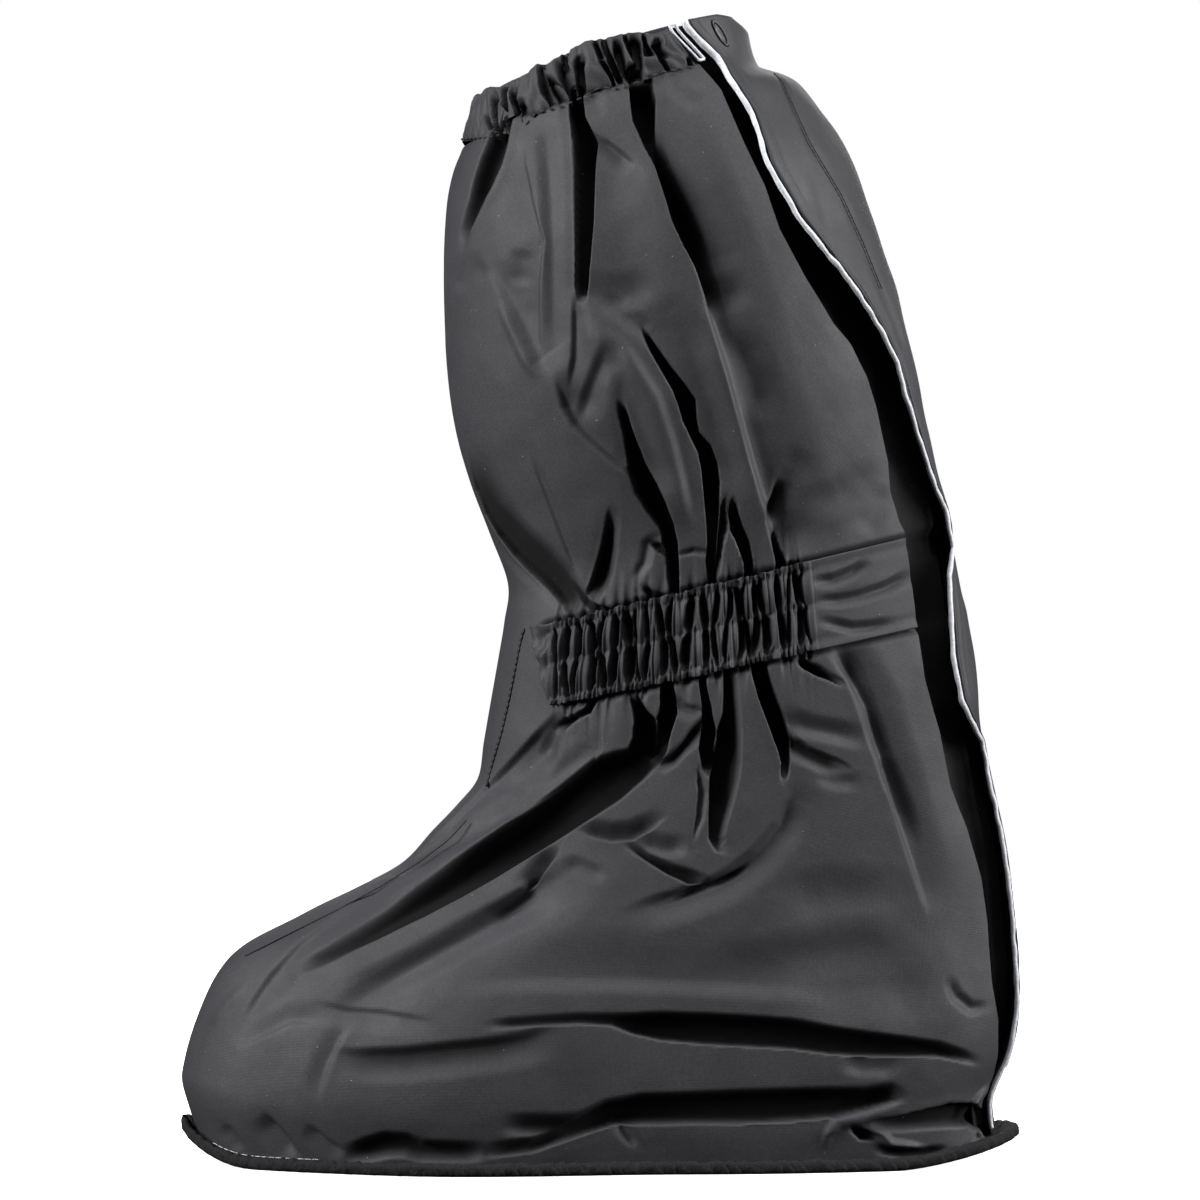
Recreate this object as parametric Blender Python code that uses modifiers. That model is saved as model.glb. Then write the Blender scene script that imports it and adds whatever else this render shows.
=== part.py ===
"""A rain overboot for the left foot, worn over a shoe or boot.

Metres, +Z up. The toe points to -X, the wearer's outer side is -Y, and the origin lies under the middle of
the sole, on the ground. Every sheet of cloth is a strip of one form, which runs from the hem on the sole up to
the collar: a place on that form is a level, counted in rows of the section tables, and a turn, which is 0 on
the front seam, grows towards the outer side and is 0.5 at the back.
"""

import math
from collections import namedtuple

import bmesh
import bpy
from mathutils import Vector

# Driving sizes of the foot
SOLE_LENGTH = 0.320
BALL_WIDTH = 0.115
SOLE_THICKNESS = 0.0024
TOE_LIFT = 0.0104
HEEL_LIFT = 0.0085
INSTEP_HEIGHT = 0.146

# Driving sizes of the shaft
COLLAR_HEIGHT = 0.439
CALF_DEPTH = 0.175
CALF_WIDTH = 0.125

# Cloth, bands and trims
WALL = 0.0012
CUFF_THICKNESS = 0.0012
CUFF_GATHER = 0.0022
BAND_THICKNESS = 0.0010
BAND_GATHER = 0.0016
FLAP_THICKNESS = 0.0010
GUSSET_THICKNESS = 0.0008
GUSSET_DEPTH = 0.009
BINDING_THICKNESS = 0.0018
PIPING_RADIUS = 0.0012
LOOP_CORD_RADIUS = 0.0005
LOOP_LENGTH = 0.014
LOOP_WIDTH = 0.0022
STUD_RADIUS = 0.0060
STUD_HEIGHT = 0.0024

# How far pieces that meet stay apart: cloth on cloth, the gusset inside the wall, hem and binding on the sole,
# and the binding beside the hem
CLOTH_GAP = 0.0004
GUSSET_GAP = 0.0006
SEAT_GAP = 0.0003
HEM_GAP = 0.0007

# Shares of the sole's length at which its toe and heel start to curl up
TOE_CURL_END = 0.09
HEEL_CURL_START = 0.85
TOE_CURL_POWER = 2.0
HEEL_CURL_POWER = 1.4

# How blunt the ends of the sole's plan are: 2 would be an ellipse
TOE_FULLNESS = 3.4
HEEL_FULLNESS = 4.6

SHEET_COLUMNS = 50
UPPER_FIRST_ROW = 0.5
FLAP_FIRST_ROW = 0.3
SOLE_STATIONS = 34

# Half widths of the sole's plan, in halves of the ball width, at shares of the length behind the toe
Plan = namedtuple("Plan", "share outer inner")
PLAN = (
    Plan(0.00, 0.84, 0.94),
    Plan(0.12, 0.90, 0.98),
    Plan(0.33, 1.00, 1.00),
    Plan(0.62, 0.87, 0.75),
    Plan(0.86, 0.80, 0.78),
    Plan(1.00, 0.78, 0.78),
)

# Each row is one section of the form. front and back are how far its ends lie ahead of the heel's end, and
# width is its breadth. Foot rows count them in sole lengths, instep heights and ball widths, and shaft rows in
# calf depths, collar heights and calf widths. oval is 0 for the sole's plan and 1 for an oval. hug is 1 where
# the row lies on the sole's curl.
Row = namedtuple("Row", "front front_z back back_z width oval hug")
FOOT_ROWS = (
    Row(0.984, 0.000, 0.028, 0.000, 0.90, 0.00, 1.0),
    Row(1.001, 0.175, 0.033, 0.165, 0.98, 0.00, 0.6),
    Row(1.000, 0.247, 0.012, 0.270, 1.00, 0.05, 0.2),
    Row(0.987, 0.356, 0.002, 0.375, 0.99, 0.20, 0.0),
    Row(0.961, 0.483, 0.001, 0.500, 0.95, 0.45, 0.0),
    Row(0.927, 0.562, 0.006, 0.630, 0.91, 0.70, 0.0),
    Row(0.861, 0.637, 0.011, 0.733, 0.88, 0.90, 0.0),
    Row(0.795, 0.709, 0.018, 0.836, 0.86, 1.00, 0.0),
    Row(0.738, 0.777, 0.028, 0.938, 0.85, 1.00, 0.0),
    Row(0.701, 0.863, 0.039, 1.048, 0.85, 1.00, 0.0),
    Row(0.671, 0.932, 0.046, 1.151, 0.85, 1.00, 0.0),
    Row(0.647, 1.000, 0.051, 1.247, 0.85, 1.00, 0.0),
)
SHAFT_ROWS = (
    Row(1.170, 0.364, 0.107, 0.451, 0.78, 1.00, 0.0),
    Row(1.155, 0.399, 0.125, 0.490, 0.77, 1.00, 0.0),
    Row(1.140, 0.433, 0.140, 0.526, 0.77, 1.00, 0.0),
    Row(1.125, 0.469, 0.157, 0.563, 0.77, 1.00, 0.0),
    Row(1.117, 0.503, 0.179, 0.597, 0.79, 1.00, 0.0),
    Row(1.157, 0.547, 0.203, 0.642, 0.85, 1.00, 0.0),
    Row(1.200, 0.592, 0.226, 0.688, 0.91, 1.00, 0.0),
    Row(1.232, 0.638, 0.255, 0.731, 0.96, 1.00, 0.0),
    Row(1.249, 0.686, 0.285, 0.777, 0.99, 1.00, 0.0),
    Row(1.257, 0.747, 0.331, 0.834, 1.00, 1.00, 0.0),
    Row(1.257, 0.793, 0.375, 0.877, 0.98, 1.00, 0.0),
    Row(1.251, 0.834, 0.434, 0.913, 0.93, 1.00, 0.0),
    Row(1.237, 0.863, 0.489, 0.940, 0.87, 1.00, 0.0),
    Row(1.214, 0.888, 0.567, 0.967, 0.80, 1.00, 0.0),
    Row(1.187, 0.929, 0.595, 1.000, 0.78, 1.00, 0.0),
)
COLLAR_LEVEL = len(FOOT_ROWS) + len(SHAFT_ROWS) - 1
CUFF_LEVEL = COLLAR_LEVEL - 1
BAND_LOW_LEVEL = len(FOOT_ROWS) + 0.6
BAND_HIGH_LEVEL = len(FOOT_ROWS) + 2.7

# The slit, by level: the turn of the outer panel's edge, of the flap's free edge and of the flap's sewn edge
Slit = namedtuple("Slit", "level panel flap sewn")
SLIT = (
    Slit(0.0, 0.445, 0.473, 0.56),
    Slit(1.0, 0.452, 0.470, 0.57),
    Slit(3.0, 0.452, 0.478, 0.58),
    Slit(5.5, 0.440, 0.476, 0.58),
    Slit(7.5, 0.424, 0.480, 0.59),
    Slit(9.5, 0.411, 0.473, 0.59),
    Slit(12.0, 0.399, 0.450, 0.60),
    Slit(14.0, 0.401, 0.463, 0.61),
    Slit(16.0, 0.400, 0.452, 0.61),
    Slit(18.0, 0.394, 0.438, 0.61),
    Slit(20.0, 0.366, 0.410, 0.60),
    Slit(22.0, 0.350, 0.380, 0.58),
    Slit(24.0, 0.339, 0.360, 0.56),
    Slit(26.0, 0.330, 0.355, 0.55),
)
# Shares of a turn: how far the upper runs on under the flap and the gusset behind both edges, the gaps beside
# the flap and at the bands' rear ends, and where the bands start beside the front seam
UNDER_FLAP = 0.018
SEWN_GAP = 0.004
BAND_END_GAP = 0.006
BAND_FRONT_TURN = 0.055
GUSSET_LAP = 0.014

# Wide folds of the slack cloth. Their ends are shares of the sole's length behind the toe and of the collar
# height, spread and depth are in sole lengths, and a negative depth is a ridge.
Fold = namedtuple("Fold", "x0 z0 x1 z1 spread depth")
FOLDS = (
    Fold(0.475, 0.90, 0.490, 0.75, 0.028, 0.026),
    Fold(0.560, 0.89, 0.680, 0.66, 0.032, 0.024),
    Fold(0.520, 0.88, 0.640, 0.60, 0.026, -0.008),
    Fold(0.345, 0.64, 0.440, 0.53, 0.034, 0.018),
    Fold(0.540, 0.67, 0.590, 0.52, 0.028, 0.018),
    Fold(0.660, 0.70, 0.640, 0.53, 0.028, 0.014),
    Fold(0.570, 0.41, 0.500, 0.30, 0.030, 0.020),
    Fold(0.500, 0.30, 0.160, 0.17, 0.030, 0.018),
    Fold(0.640, 0.39, 0.625, 0.25, 0.028, 0.018),
    Fold(0.780, 0.40, 0.860, 0.24, 0.030, 0.012),
    Fold(0.500, 0.120, 0.930, 0.092, 0.030, 0.024),
    Fold(0.380, 0.030, 0.800, 0.052, 0.028, 0.018),
)

BLACK_CLOTH = ("black cloth", (0.030, 0.030, 0.033, 1.0), 0.50)
DARK_CLOTH = ("dark cloth", (0.010, 0.010, 0.011, 1.0), 0.70)
BINDING_CLOTH = ("binding cloth", (0.016, 0.016, 0.017, 1.0), 0.75)
SOLE_RUBBER = ("sole rubber", (0.020, 0.020, 0.020, 1.0), 0.65)
REFLEX_SILVER = ("reflex silver", (0.80, 0.82, 0.84, 1.0), 0.35)
STUD_METAL = ("stud metal", (0.08, 0.08, 0.085, 1.0), 0.25)


def mix(a, b, share):
    return a + (b - a) * share


def smooth_between(before, low, high, after, share):
    """A cubic through low and high whose slopes look at the rows before and after."""
    slope_low = (high - before) / 2
    slope_high = (after - low) / 2
    cubic = 2 * low - 2 * high + slope_low + slope_high
    square = 3 * high - 3 * low - 2 * slope_low - slope_high
    return ((cubic * share + square) * share + slope_low) * share + low


def along(rows, place):
    """The fields of a table at a place between its rows, counted in rows."""
    last = len(rows) - 1
    index = min(int(max(place, 0.0)), last - 1)
    share = place - index
    around = [rows[min(max(index + step, 0), last)] for step in (-1, 0, 1, 2)]
    return [smooth_between(*fields, share) for fields in zip(*around)]


def by_key(rows, key):
    """The fields of a table whose first column is the key, at a value of that key."""
    last = len(rows) - 1
    index = 0
    while index < last - 1 and rows[index + 1][0] < key:
        index += 1
    share = (key - rows[index][0]) / (rows[index + 1][0] - rows[index][0])
    share = min(max(share, 0.0), 1.0)
    eased = share * share * (3 - 2 * share)
    return [mix(low, high, eased) for low, high in zip(rows[index], rows[index + 1])]


def heel_x():
    return SOLE_LENGTH / 2


def sole_lift(x):
    """Height of the sole's underside, which curls up at the toe and at the heel."""
    share = min(max(0.5 + x / SOLE_LENGTH, 0.0), 1.0)
    toe = max(0.0, 1 - share / TOE_CURL_END)
    heel = max(0.0, (share - HEEL_CURL_START) / (1 - HEEL_CURL_START))
    return TOE_LIFT * toe**TOE_CURL_POWER + HEEL_LIFT * heel**HEEL_CURL_POWER


def hem_height(x):
    return sole_lift(x) + SOLE_THICKNESS + SEAT_GAP


def plan_width(angle):
    """Half width of the sole's plan, in halves of the ball width, on the side where the angle points."""
    share = (1 - math.cos(angle)) / 2
    _, outer, inner = by_key(PLAN, share)
    fullness = mix(TOE_FULLNESS, HEEL_FULLNESS, share)
    rounding = math.sqrt(max(0.0, 1 - abs(math.cos(angle)) ** fullness))
    return rounding * (outer if math.sin(angle) >= 0 else inner)


def built_rows():
    """All sections from hem to collar, in metres."""
    rows = []
    for row in FOOT_ROWS:
        front = heel_x() - row.front * SOLE_LENGTH
        back = heel_x() - row.back * SOLE_LENGTH
        on_sole = row.front_z == 0
        front_z = hem_height(front) if on_sole else row.front_z * INSTEP_HEIGHT
        back_z = hem_height(back) if on_sole else row.back_z * INSTEP_HEIGHT
        half = row.width * BALL_WIDTH / 2
        rows.append(Row(front, front_z, back, back_z, half, row.oval, row.hug))
    for row in SHAFT_ROWS:
        front = heel_x() - row.front * CALF_DEPTH
        back = heel_x() - row.back * CALF_DEPTH
        front_z = row.front_z * COLLAR_HEIGHT
        back_z = row.back_z * COLLAR_HEIGHT
        half = row.width * CALF_WIDTH / 2
        rows.append(Row(front, front_z, back, back_z, half, row.oval, row.hug))
    return tuple(rows)


SECTIONS = built_rows()


def form_point(level, turn):
    """The bare form, before its folds."""
    row = Row(*along(SECTIONS, level))
    angle = 2 * math.pi * turn
    share = (1 - math.cos(angle)) / 2
    x = mix(row.front, row.back, share)
    z = mix(row.front_z, row.back_z, share)
    hem_line = mix(SECTIONS[0].front_z, SECTIONS[0].back_z, share)
    z -= row.hug * (hem_line - hem_height(x))
    width = row.width * mix(plan_width(angle), abs(math.sin(angle)), row.oval)
    return Vector((x, -math.copysign(width, math.sin(angle)), z))


def form_normal(level, turn):
    """The outward direction of the bare form."""
    step_level = 0.05
    step_turn = 0.002
    low = max(level - step_level, 0.0)
    high = min(level + step_level, COLLAR_LEVEL)
    across = form_point(level, turn + step_turn) - form_point(level, turn - step_turn)
    upward = form_point(high, turn) - form_point(low, turn)
    return across.cross(upward).normalized()


def fold_depth(point):
    """How far the folds sink the cloth at a point of the bare form."""
    depth = 0.0
    for fold in FOLDS:
        start = Vector(((fold.x0 - 0.5) * SOLE_LENGTH, fold.z0 * COLLAR_HEIGHT))
        end = Vector(((fold.x1 - 0.5) * SOLE_LENGTH, fold.z1 * COLLAR_HEIGHT))
        run = end - start
        place = Vector((point.x, point.z)) - start
        share = min(max(place.dot(run) / run.length_squared, 0.0), 1.0)
        away = (place - run * share).length / (fold.spread * SOLE_LENGTH)
        fade = math.sin(math.pi * mix(0.15, 0.85, share))
        depth += fold.depth * SOLE_LENGTH * fade * math.exp(-away * away)
    return depth


def side_share(turn):
    """0 on the seam and at the back, 1 on the middle of either side."""
    return math.sin(2 * math.pi * turn) ** 2


def band_share(level):
    """1 on the ankle band, 0 away from it: the folds stop at the band."""
    middle = (BAND_LOW_LEVEL + BAND_HIGH_LEVEL) / 2
    reach = (BAND_HIGH_LEVEL - BAND_LOW_LEVEL) / 2
    beyond = max(0.0, abs(level - middle) - reach)
    return max(0.0, 1 - beyond)


def cloth_point(level, turn, offset):
    """A point that lies offset outside the cloth's outer face."""
    bare = form_point(level, turn)
    sunk = fold_depth(bare) * side_share(turn) * (1 - band_share(level))
    ends = min(1.0, level / 1.5, (COLLAR_LEVEL - level) / 2.5)
    return bare + form_normal(level, turn) * (offset - sunk * max(ends, 0.0))


def slit_at(level):
    return Slit(*by_key(SLIT, level))


def spaced(first, last, count):
    return [mix(first, last, index / (count - 1)) for index in range(count)]


def material_of(look):
    name, colour, roughness = look
    found = bpy.data.materials.get(name)
    if found:
        return found
    made = bpy.data.materials.new(name)
    made.use_nodes = True
    shader = made.node_tree.nodes["Principled BSDF"]
    shader.inputs["Base Color"].default_value = colour
    shader.inputs["Roughness"].default_value = roughness
    return made


def add_object(name, data, look, collection):
    made = bpy.data.objects.new(name, data)
    data.materials.append(material_of(look))
    collection.objects.link(made)
    return made


def grid_mesh(name, rows, closed=False):
    """A sheet through rows of points, whose faces look outwards."""
    mesh = bpy.data.meshes.new(name)
    bm = bmesh.new()
    grid = [[bm.verts.new(point) for point in row] for row in rows]
    columns = len(grid[0])
    for low, high in zip(grid, grid[1:]):
        for column in range(columns if closed else columns - 1):
            beside = (column + 1) % columns
            bm.faces.new((low[column], low[beside], high[beside], high[column]))
    bm.to_mesh(mesh)
    bm.free()
    mesh.shade_smooth()
    return mesh


def thicken(made, thickness, side):
    """Gives a sheet its wall: side 1 grows it outwards and -1 inwards."""
    solidify = made.modifiers.new("Wall", "SOLIDIFY")
    solidify.thickness = thickness
    solidify.offset = side
    return made


def raise_wall(bm, height):
    """Makes a sheet that lies down a solid, by a lifted copy and a wall all round."""
    lifted = bmesh.ops.extrude_face_region(bm, geom=bm.faces[:], use_keep_orig=True)
    tops = [item for item in lifted["geom"] if isinstance(item, bmesh.types.BMVert)]
    bmesh.ops.translate(bm, verts=tops, vec=(0.0, 0.0, height))
    bmesh.ops.recalc_face_normals(bm, faces=bm.faces)


def cloth_strip(name, levels, edges, offset, columns, look, collection):
    """A sheet on the form between two edges, each a turn by level, at an offset by share and level."""
    rows = []
    for level in levels:
        first, last = edges(level)
        turns = spaced(first, last, columns)
        shares = spaced(0.0, 1.0, columns)
        rows.append([cloth_point(level, turn, offset(share, level)) for turn, share in zip(turns, shares)])
    return add_object(name, grid_mesh(name, rows), look, collection)


def upper_levels():
    """The rows of the section tables, with rows on the two edges of the ankle band."""
    band = spaced(BAND_LOW_LEVEL, BAND_HIGH_LEVEL, 4)
    rows = [float(row) for row in range(COLLAR_LEVEL + 1)]
    apart = [row for row in rows if row < band[0] - 0.3 or row > band[-1] + 0.3]
    return sorted(apart + band + [UPPER_FIRST_ROW, COLLAR_LEVEL - 0.5])


def add_outsole(collection):
    """The rubber sole: flat on the ground, with its two ends curled up."""
    mesh = bpy.data.meshes.new("outsole")
    bm = bmesh.new()
    angles = spaced(0.0, math.pi, SOLE_STATIONS)
    outer = []
    inner = []
    for angle in angles:
        x = -math.cos(angle) * SOLE_LENGTH / 2
        z = sole_lift(x)
        outer.append(bm.verts.new((x, -plan_width(angle) * BALL_WIDTH / 2, z)))
        if 0 < angle < math.pi:
            inner.append(bm.verts.new((x, plan_width(-angle) * BALL_WIDTH / 2, z)))
    bm.faces.new((outer[0], outer[1], inner[0]))
    for station in range(1, SOLE_STATIONS - 2):
        near, far = outer[station], outer[station + 1]
        bm.faces.new((near, far, inner[station], inner[station - 1]))
    bm.faces.new((outer[-2], outer[-1], inner[-1]))
    bmesh.ops.recalc_face_normals(bm, faces=bm.faces)
    flat = [edge for edge in bm.edges if not edge.is_boundary and max(v.co.z for v in edge.verts) < 1e-6]
    bmesh.ops.dissolve_edges(bm, edges=flat)
    raise_wall(bm, SOLE_THICKNESS)
    bm.to_mesh(mesh)
    bm.free()
    return add_object("outsole", mesh, SOLE_RUBBER, collection)


def add_sole_binding(collection):
    """The textile strip on the sole's rim, from the sole's edge in to the hem."""
    count = 2 * SOLE_STATIONS
    rim_row = []
    hem_row = []
    for index in range(count):
        turn = index / count
        angle = 2 * math.pi * turn
        x = -math.cos(angle) * SOLE_LENGTH / 2
        width = plan_width(angle) * BALL_WIDTH / 2
        y = -math.copysign(width, math.sin(angle))
        rim_row.append(Vector((x, y, hem_height(x))))
        outside = form_normal(0.0, turn)
        outside.z = 0.0
        foot = form_point(0.0, turn)
        over = form_point(UPPER_FIRST_ROW, turn)
        leaning = foot.lerp(over, BINDING_THICKNESS / (over.z - foot.z))
        hem = leaning + outside.normalized() * HEM_GAP
        hem.z = hem_height(hem.x)
        hem_row.append(hem)
    mesh = grid_mesh("sole_binding", (rim_row, hem_row), True)
    bm = bmesh.new()
    bm.from_mesh(mesh)
    raise_wall(bm, BINDING_THICKNESS)
    bm.to_mesh(mesh)
    bm.free()
    return add_object("sole_binding", mesh, BINDING_CLOTH, collection)


def add_upper(collection):
    """The cloth shell, open at the collar, underneath and along the slit."""

    def edges(level):
        slit = slit_at(level)
        return slit.flap + UNDER_FLAP - 1, slit.panel

    levels = upper_levels()
    made = cloth_strip("upper", levels, edges, lambda share, level: 0.0, SHEET_COLUMNS, BLACK_CLOTH, collection)
    return thicken(made, WALL, -1)


def gather(share, count):
    """Uneven pleats across a gathered strip, from 0 to 1."""
    uneven = share + 0.012 * math.sin(2 * math.pi * 3 * share) + 0.006 * math.sin(2 * math.pi * 7 * share)
    return 0.5 - 0.5 * math.cos(2 * math.pi * count * uneven)


def add_cuff(collection):
    """The elastic casing at the collar, gathered all round from the slit to the flap's sewn edge."""
    pleats = 24

    def edges(level):
        slit = slit_at(level)
        return slit.sewn - 1 + SEWN_GAP, slit.panel

    def offset(share, level):
        rise = math.sin(math.pi * mix(0.12, 0.88, (level - CUFF_LEVEL) / (COLLAR_LEVEL - CUFF_LEVEL)))
        return CLOTH_GAP + CUFF_GATHER * gather(share, pleats) * rise

    levels = spaced(CUFF_LEVEL, COLLAR_LEVEL, 4)
    made = cloth_strip("cuff", levels, edges, offset, 3 * pleats, BLACK_CLOTH, collection)
    return thicken(made, CUFF_THICKNESS, 1)


def add_ankle_band(name, front, rear, collection):
    """A shirred channel on one side of the ankle, flat near its rear end."""
    pleats = 13
    levels = spaced(BAND_LOW_LEVEL, BAND_HIGH_LEVEL, 4)

    def offset(share, level):
        reach = abs(share - rear_share)
        shirred = min(1.0, max(0.0, (reach - 0.25) / 0.1))
        rise = math.sin(math.pi * mix(0.2, 0.8, (level - levels[0]) / (levels[-1] - levels[0])))
        return CLOTH_GAP + BAND_GATHER * gather(share, pleats) * rise * shirred

    first, last = sorted((front, rear))
    rear_share = 1.0 if rear > front else 0.0
    made = cloth_strip(name, levels, lambda level: (first, last), offset, 3 * pleats, BLACK_CLOTH, collection)
    return thicken(made, BAND_THICKNESS, 1)


def flap_levels():
    """The rows of the flap, from just over the binding up to the collar."""
    return [FLAP_FIRST_ROW] + [level for level in upper_levels() if level > UPPER_FIRST_ROW]


def add_storm_flap(collection):
    """The flap over the slit, from its free edge on the outer side to its sewn edge on the inner side."""

    def edges(level):
        slit = slit_at(level)
        return slit.flap, slit.sewn

    made = cloth_strip("storm_flap", flap_levels(), edges, lambda share, level: CLOTH_GAP, 9, BLACK_CLOTH, collection)
    return thicken(made, FLAP_THICKNESS, 1)


def add_rear_gusset(collection):
    """The bellows strip behind the slit, tucked under both edges and sunk between them."""

    def edges(level):
        slit = slit_at(level)
        return slit.panel - GUSSET_LAP, slit.flap + UNDER_FLAP + GUSSET_LAP

    def offset(share, level):
        room = min(1.0, (COLLAR_LEVEL - level) / 3 + 0.25, level / 2 + 0.25)
        return -WALL - GUSSET_GAP - GUSSET_DEPTH * room * math.sin(math.pi * share) ** 2

    levels = [0.25] + upper_levels()[1:-1] + [COLLAR_LEVEL - 0.1]
    made = cloth_strip("rear_gusset", levels, edges, offset, 7, DARK_CLOTH, collection)
    return thicken(made, GUSSET_THICKNESS, -1)


def cord(name, points, radius, look, closed, collection):
    """A cord through points, as a tube."""
    data = bpy.data.curves.new(name, "CURVE")
    data.dimensions = "3D"
    data.bevel_depth = radius
    data.bevel_resolution = 1
    data.use_fill_caps = True
    spline = data.splines.new("POLY")
    spline.points.add(len(points) - 1)
    for target, point in zip(spline.points, points):
        target.co = (*point, 1.0)
    spline.use_cyclic_u = closed
    return add_object(name, data, look, collection)


def turn_for(level, distance):
    """The turn that spans a distance along the form near the slit."""
    here = slit_at(level).flap
    step = 0.004
    return step * distance / (form_point(level, here + step) - form_point(level, here)).length


def piping_point(level, ahead, offset):
    """A point ahead of the flap's free edge by a distance, and offset outside the cloth."""
    return cloth_point(level, slit_at(level).flap - turn_for(level, ahead), offset)


def add_reflective_piping(collection):
    """The light cord along the flap's free edge."""
    ahead = PIPING_RADIUS + CLOTH_GAP
    rise = CLOTH_GAP + FLAP_THICKNESS / 2
    points = [piping_point(level, ahead, rise) for level in flap_levels()]
    return cord("reflective_piping", points, PIPING_RADIUS, REFLEX_SILVER, False, collection)


def add_piping_loop(collection):
    """The doubled tail of the piping, which hangs in the top of the slit."""
    near = 2 * PIPING_RADIUS + 3 * CLOTH_GAP + LOOP_CORD_RADIUS
    top = COLLAR_LEVEL - 0.08
    row_height = (form_point(COLLAR_LEVEL, 0.35) - form_point(CUFF_LEVEL, 0.35)).length
    bottom = top - LOOP_LENGTH / row_height
    legs = []
    corners = 5
    for index in range(corners):
        turn = math.pi * index / (corners - 1)
        across = near + LOOP_WIDTH * (0.5 - 0.5 * math.cos(turn))
        legs.append(piping_point(top + 0.06 * math.sin(turn), across, 0.0))
    for index in range(corners):
        turn = math.pi * index / (corners - 1)
        across = near + LOOP_WIDTH * (0.5 + 0.5 * math.cos(turn))
        legs.append(piping_point(bottom - 0.06 * math.sin(turn), across, 0.0))
    return cord("piping_loop", legs, LOOP_CORD_RADIUS, REFLEX_SILVER, True, collection)


def stud_seat():
    """The seat of the press stud on the flap's top corner: its middle, and the way that it faces."""
    level = mix(CUFF_LEVEL, COLLAR_LEVEL, 0.55)
    turn = slit_at(level).flap + turn_for(level, 1.9 * STUD_RADIUS)
    lift = CLOTH_GAP + FLAP_THICKNESS
    reach_turn = turn_for(level, STUD_RADIUS)
    reach_level = STUD_RADIUS / (form_point(COLLAR_LEVEL, turn) - form_point(CUFF_LEVEL, turn)).length
    left = cloth_point(level, turn - reach_turn, lift)
    right = cloth_point(level, turn + reach_turn, lift)
    low = cloth_point(level - reach_level, turn, lift)
    high = cloth_point(level + reach_level, turn, lift)
    facing = (right - left).cross(high - low).normalized()
    middle = cloth_point(level, turn, lift)
    proud = max((point - middle).dot(facing) for point in (left, right, low, high, middle))
    return middle + facing * (proud + SEAT_GAP), facing


def add_press_stud(collection):
    """A turned stud cap on the flap's top corner."""
    seat, facing = stud_seat()
    mesh = bpy.data.meshes.new("press_stud")
    bm = bmesh.new()
    profile = ((0.0, 1.0), (0.55, 0.96), (0.86, 0.80), (1.0, 0.45), (0.96, 0.0), (0.0, 0.0))
    points = [bm.verts.new((out * STUD_RADIUS, 0.0, up * STUD_HEIGHT)) for out, up in profile]
    for first, second in zip(points, points[1:]):
        bm.edges.new((first, second))
    bm.to_mesh(mesh)
    bm.free()
    made = add_object("press_stud", mesh, STUD_METAL, collection)
    screw = made.modifiers.new("Turned", "SCREW")
    screw.steps = 20
    screw.render_steps = 20
    screw.use_merge_vertices = True
    screw.merge_threshold = 0.00001
    screw.use_normal_calculate = True
    made.location = seat
    made.rotation_mode = "QUATERNION"
    made.rotation_quaternion = facing.to_track_quat("Z", "Y")
    return made


def main():
    for old in list(bpy.data.objects):
        bpy.data.objects.remove(old)
    collection = bpy.data.collections.new("overboot")
    bpy.context.scene.collection.children.link(collection)
    add_outsole(collection)
    add_sole_binding(collection)
    add_upper(collection)
    add_cuff(collection)
    rear = slit_at((BAND_LOW_LEVEL + BAND_HIGH_LEVEL) / 2)
    add_ankle_band("ankle_band_outer", BAND_FRONT_TURN, rear.panel - BAND_END_GAP, collection)
    add_ankle_band("ankle_band_inner", -BAND_FRONT_TURN, rear.sewn - 1 + BAND_END_GAP, collection)
    add_storm_flap(collection)
    add_reflective_piping(collection)
    add_piping_loop(collection)
    add_rear_gusset(collection)
    add_press_stud(collection)


main()
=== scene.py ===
# %% [markdown]
# # A rain overboot, dressed over its CAD model
# The overboot is a slack shell of black coated cloth on a thin rubber sole. It has a gathered collar, a
# shirred band over the ankle, and a slit at the rear of its outer side, under a storm flap with a
# reflective piping. The solids are plain, so this lesson cuts each cloth piece again as a fine sheet and
# lays its creases.

# %% Load the frame
import math
from collections import namedtuple

import bmesh
import bpy
import numpy as np
from mathutils import Matrix, Vector, kdtree


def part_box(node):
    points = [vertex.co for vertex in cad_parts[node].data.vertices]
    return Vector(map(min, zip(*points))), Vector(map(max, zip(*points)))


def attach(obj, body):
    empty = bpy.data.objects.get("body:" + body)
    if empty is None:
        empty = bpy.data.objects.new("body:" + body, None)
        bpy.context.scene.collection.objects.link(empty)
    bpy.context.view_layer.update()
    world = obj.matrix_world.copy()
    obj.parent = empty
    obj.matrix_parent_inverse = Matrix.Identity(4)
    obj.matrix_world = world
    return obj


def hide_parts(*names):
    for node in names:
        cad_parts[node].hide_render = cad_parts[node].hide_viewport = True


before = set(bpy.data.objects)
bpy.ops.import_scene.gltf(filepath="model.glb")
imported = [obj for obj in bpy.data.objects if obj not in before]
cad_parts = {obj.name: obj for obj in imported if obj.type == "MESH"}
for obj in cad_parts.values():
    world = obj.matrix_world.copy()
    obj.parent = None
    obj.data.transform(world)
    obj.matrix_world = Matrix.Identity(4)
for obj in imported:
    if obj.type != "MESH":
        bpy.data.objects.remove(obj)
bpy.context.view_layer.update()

# %% [markdown]
# ## The camera
# The photograph is a level side view from far away, so a long lens keeps the leg and the foot in
# proportion. The camera comes first, because the creases further down are charted as this view shows
# them.

# %% Place the camera
CAMERA_DISTANCE = 1.6
CAMERA_HEIGHT = 0.2145
VIEW_HEIGHT = 0.462

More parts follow.
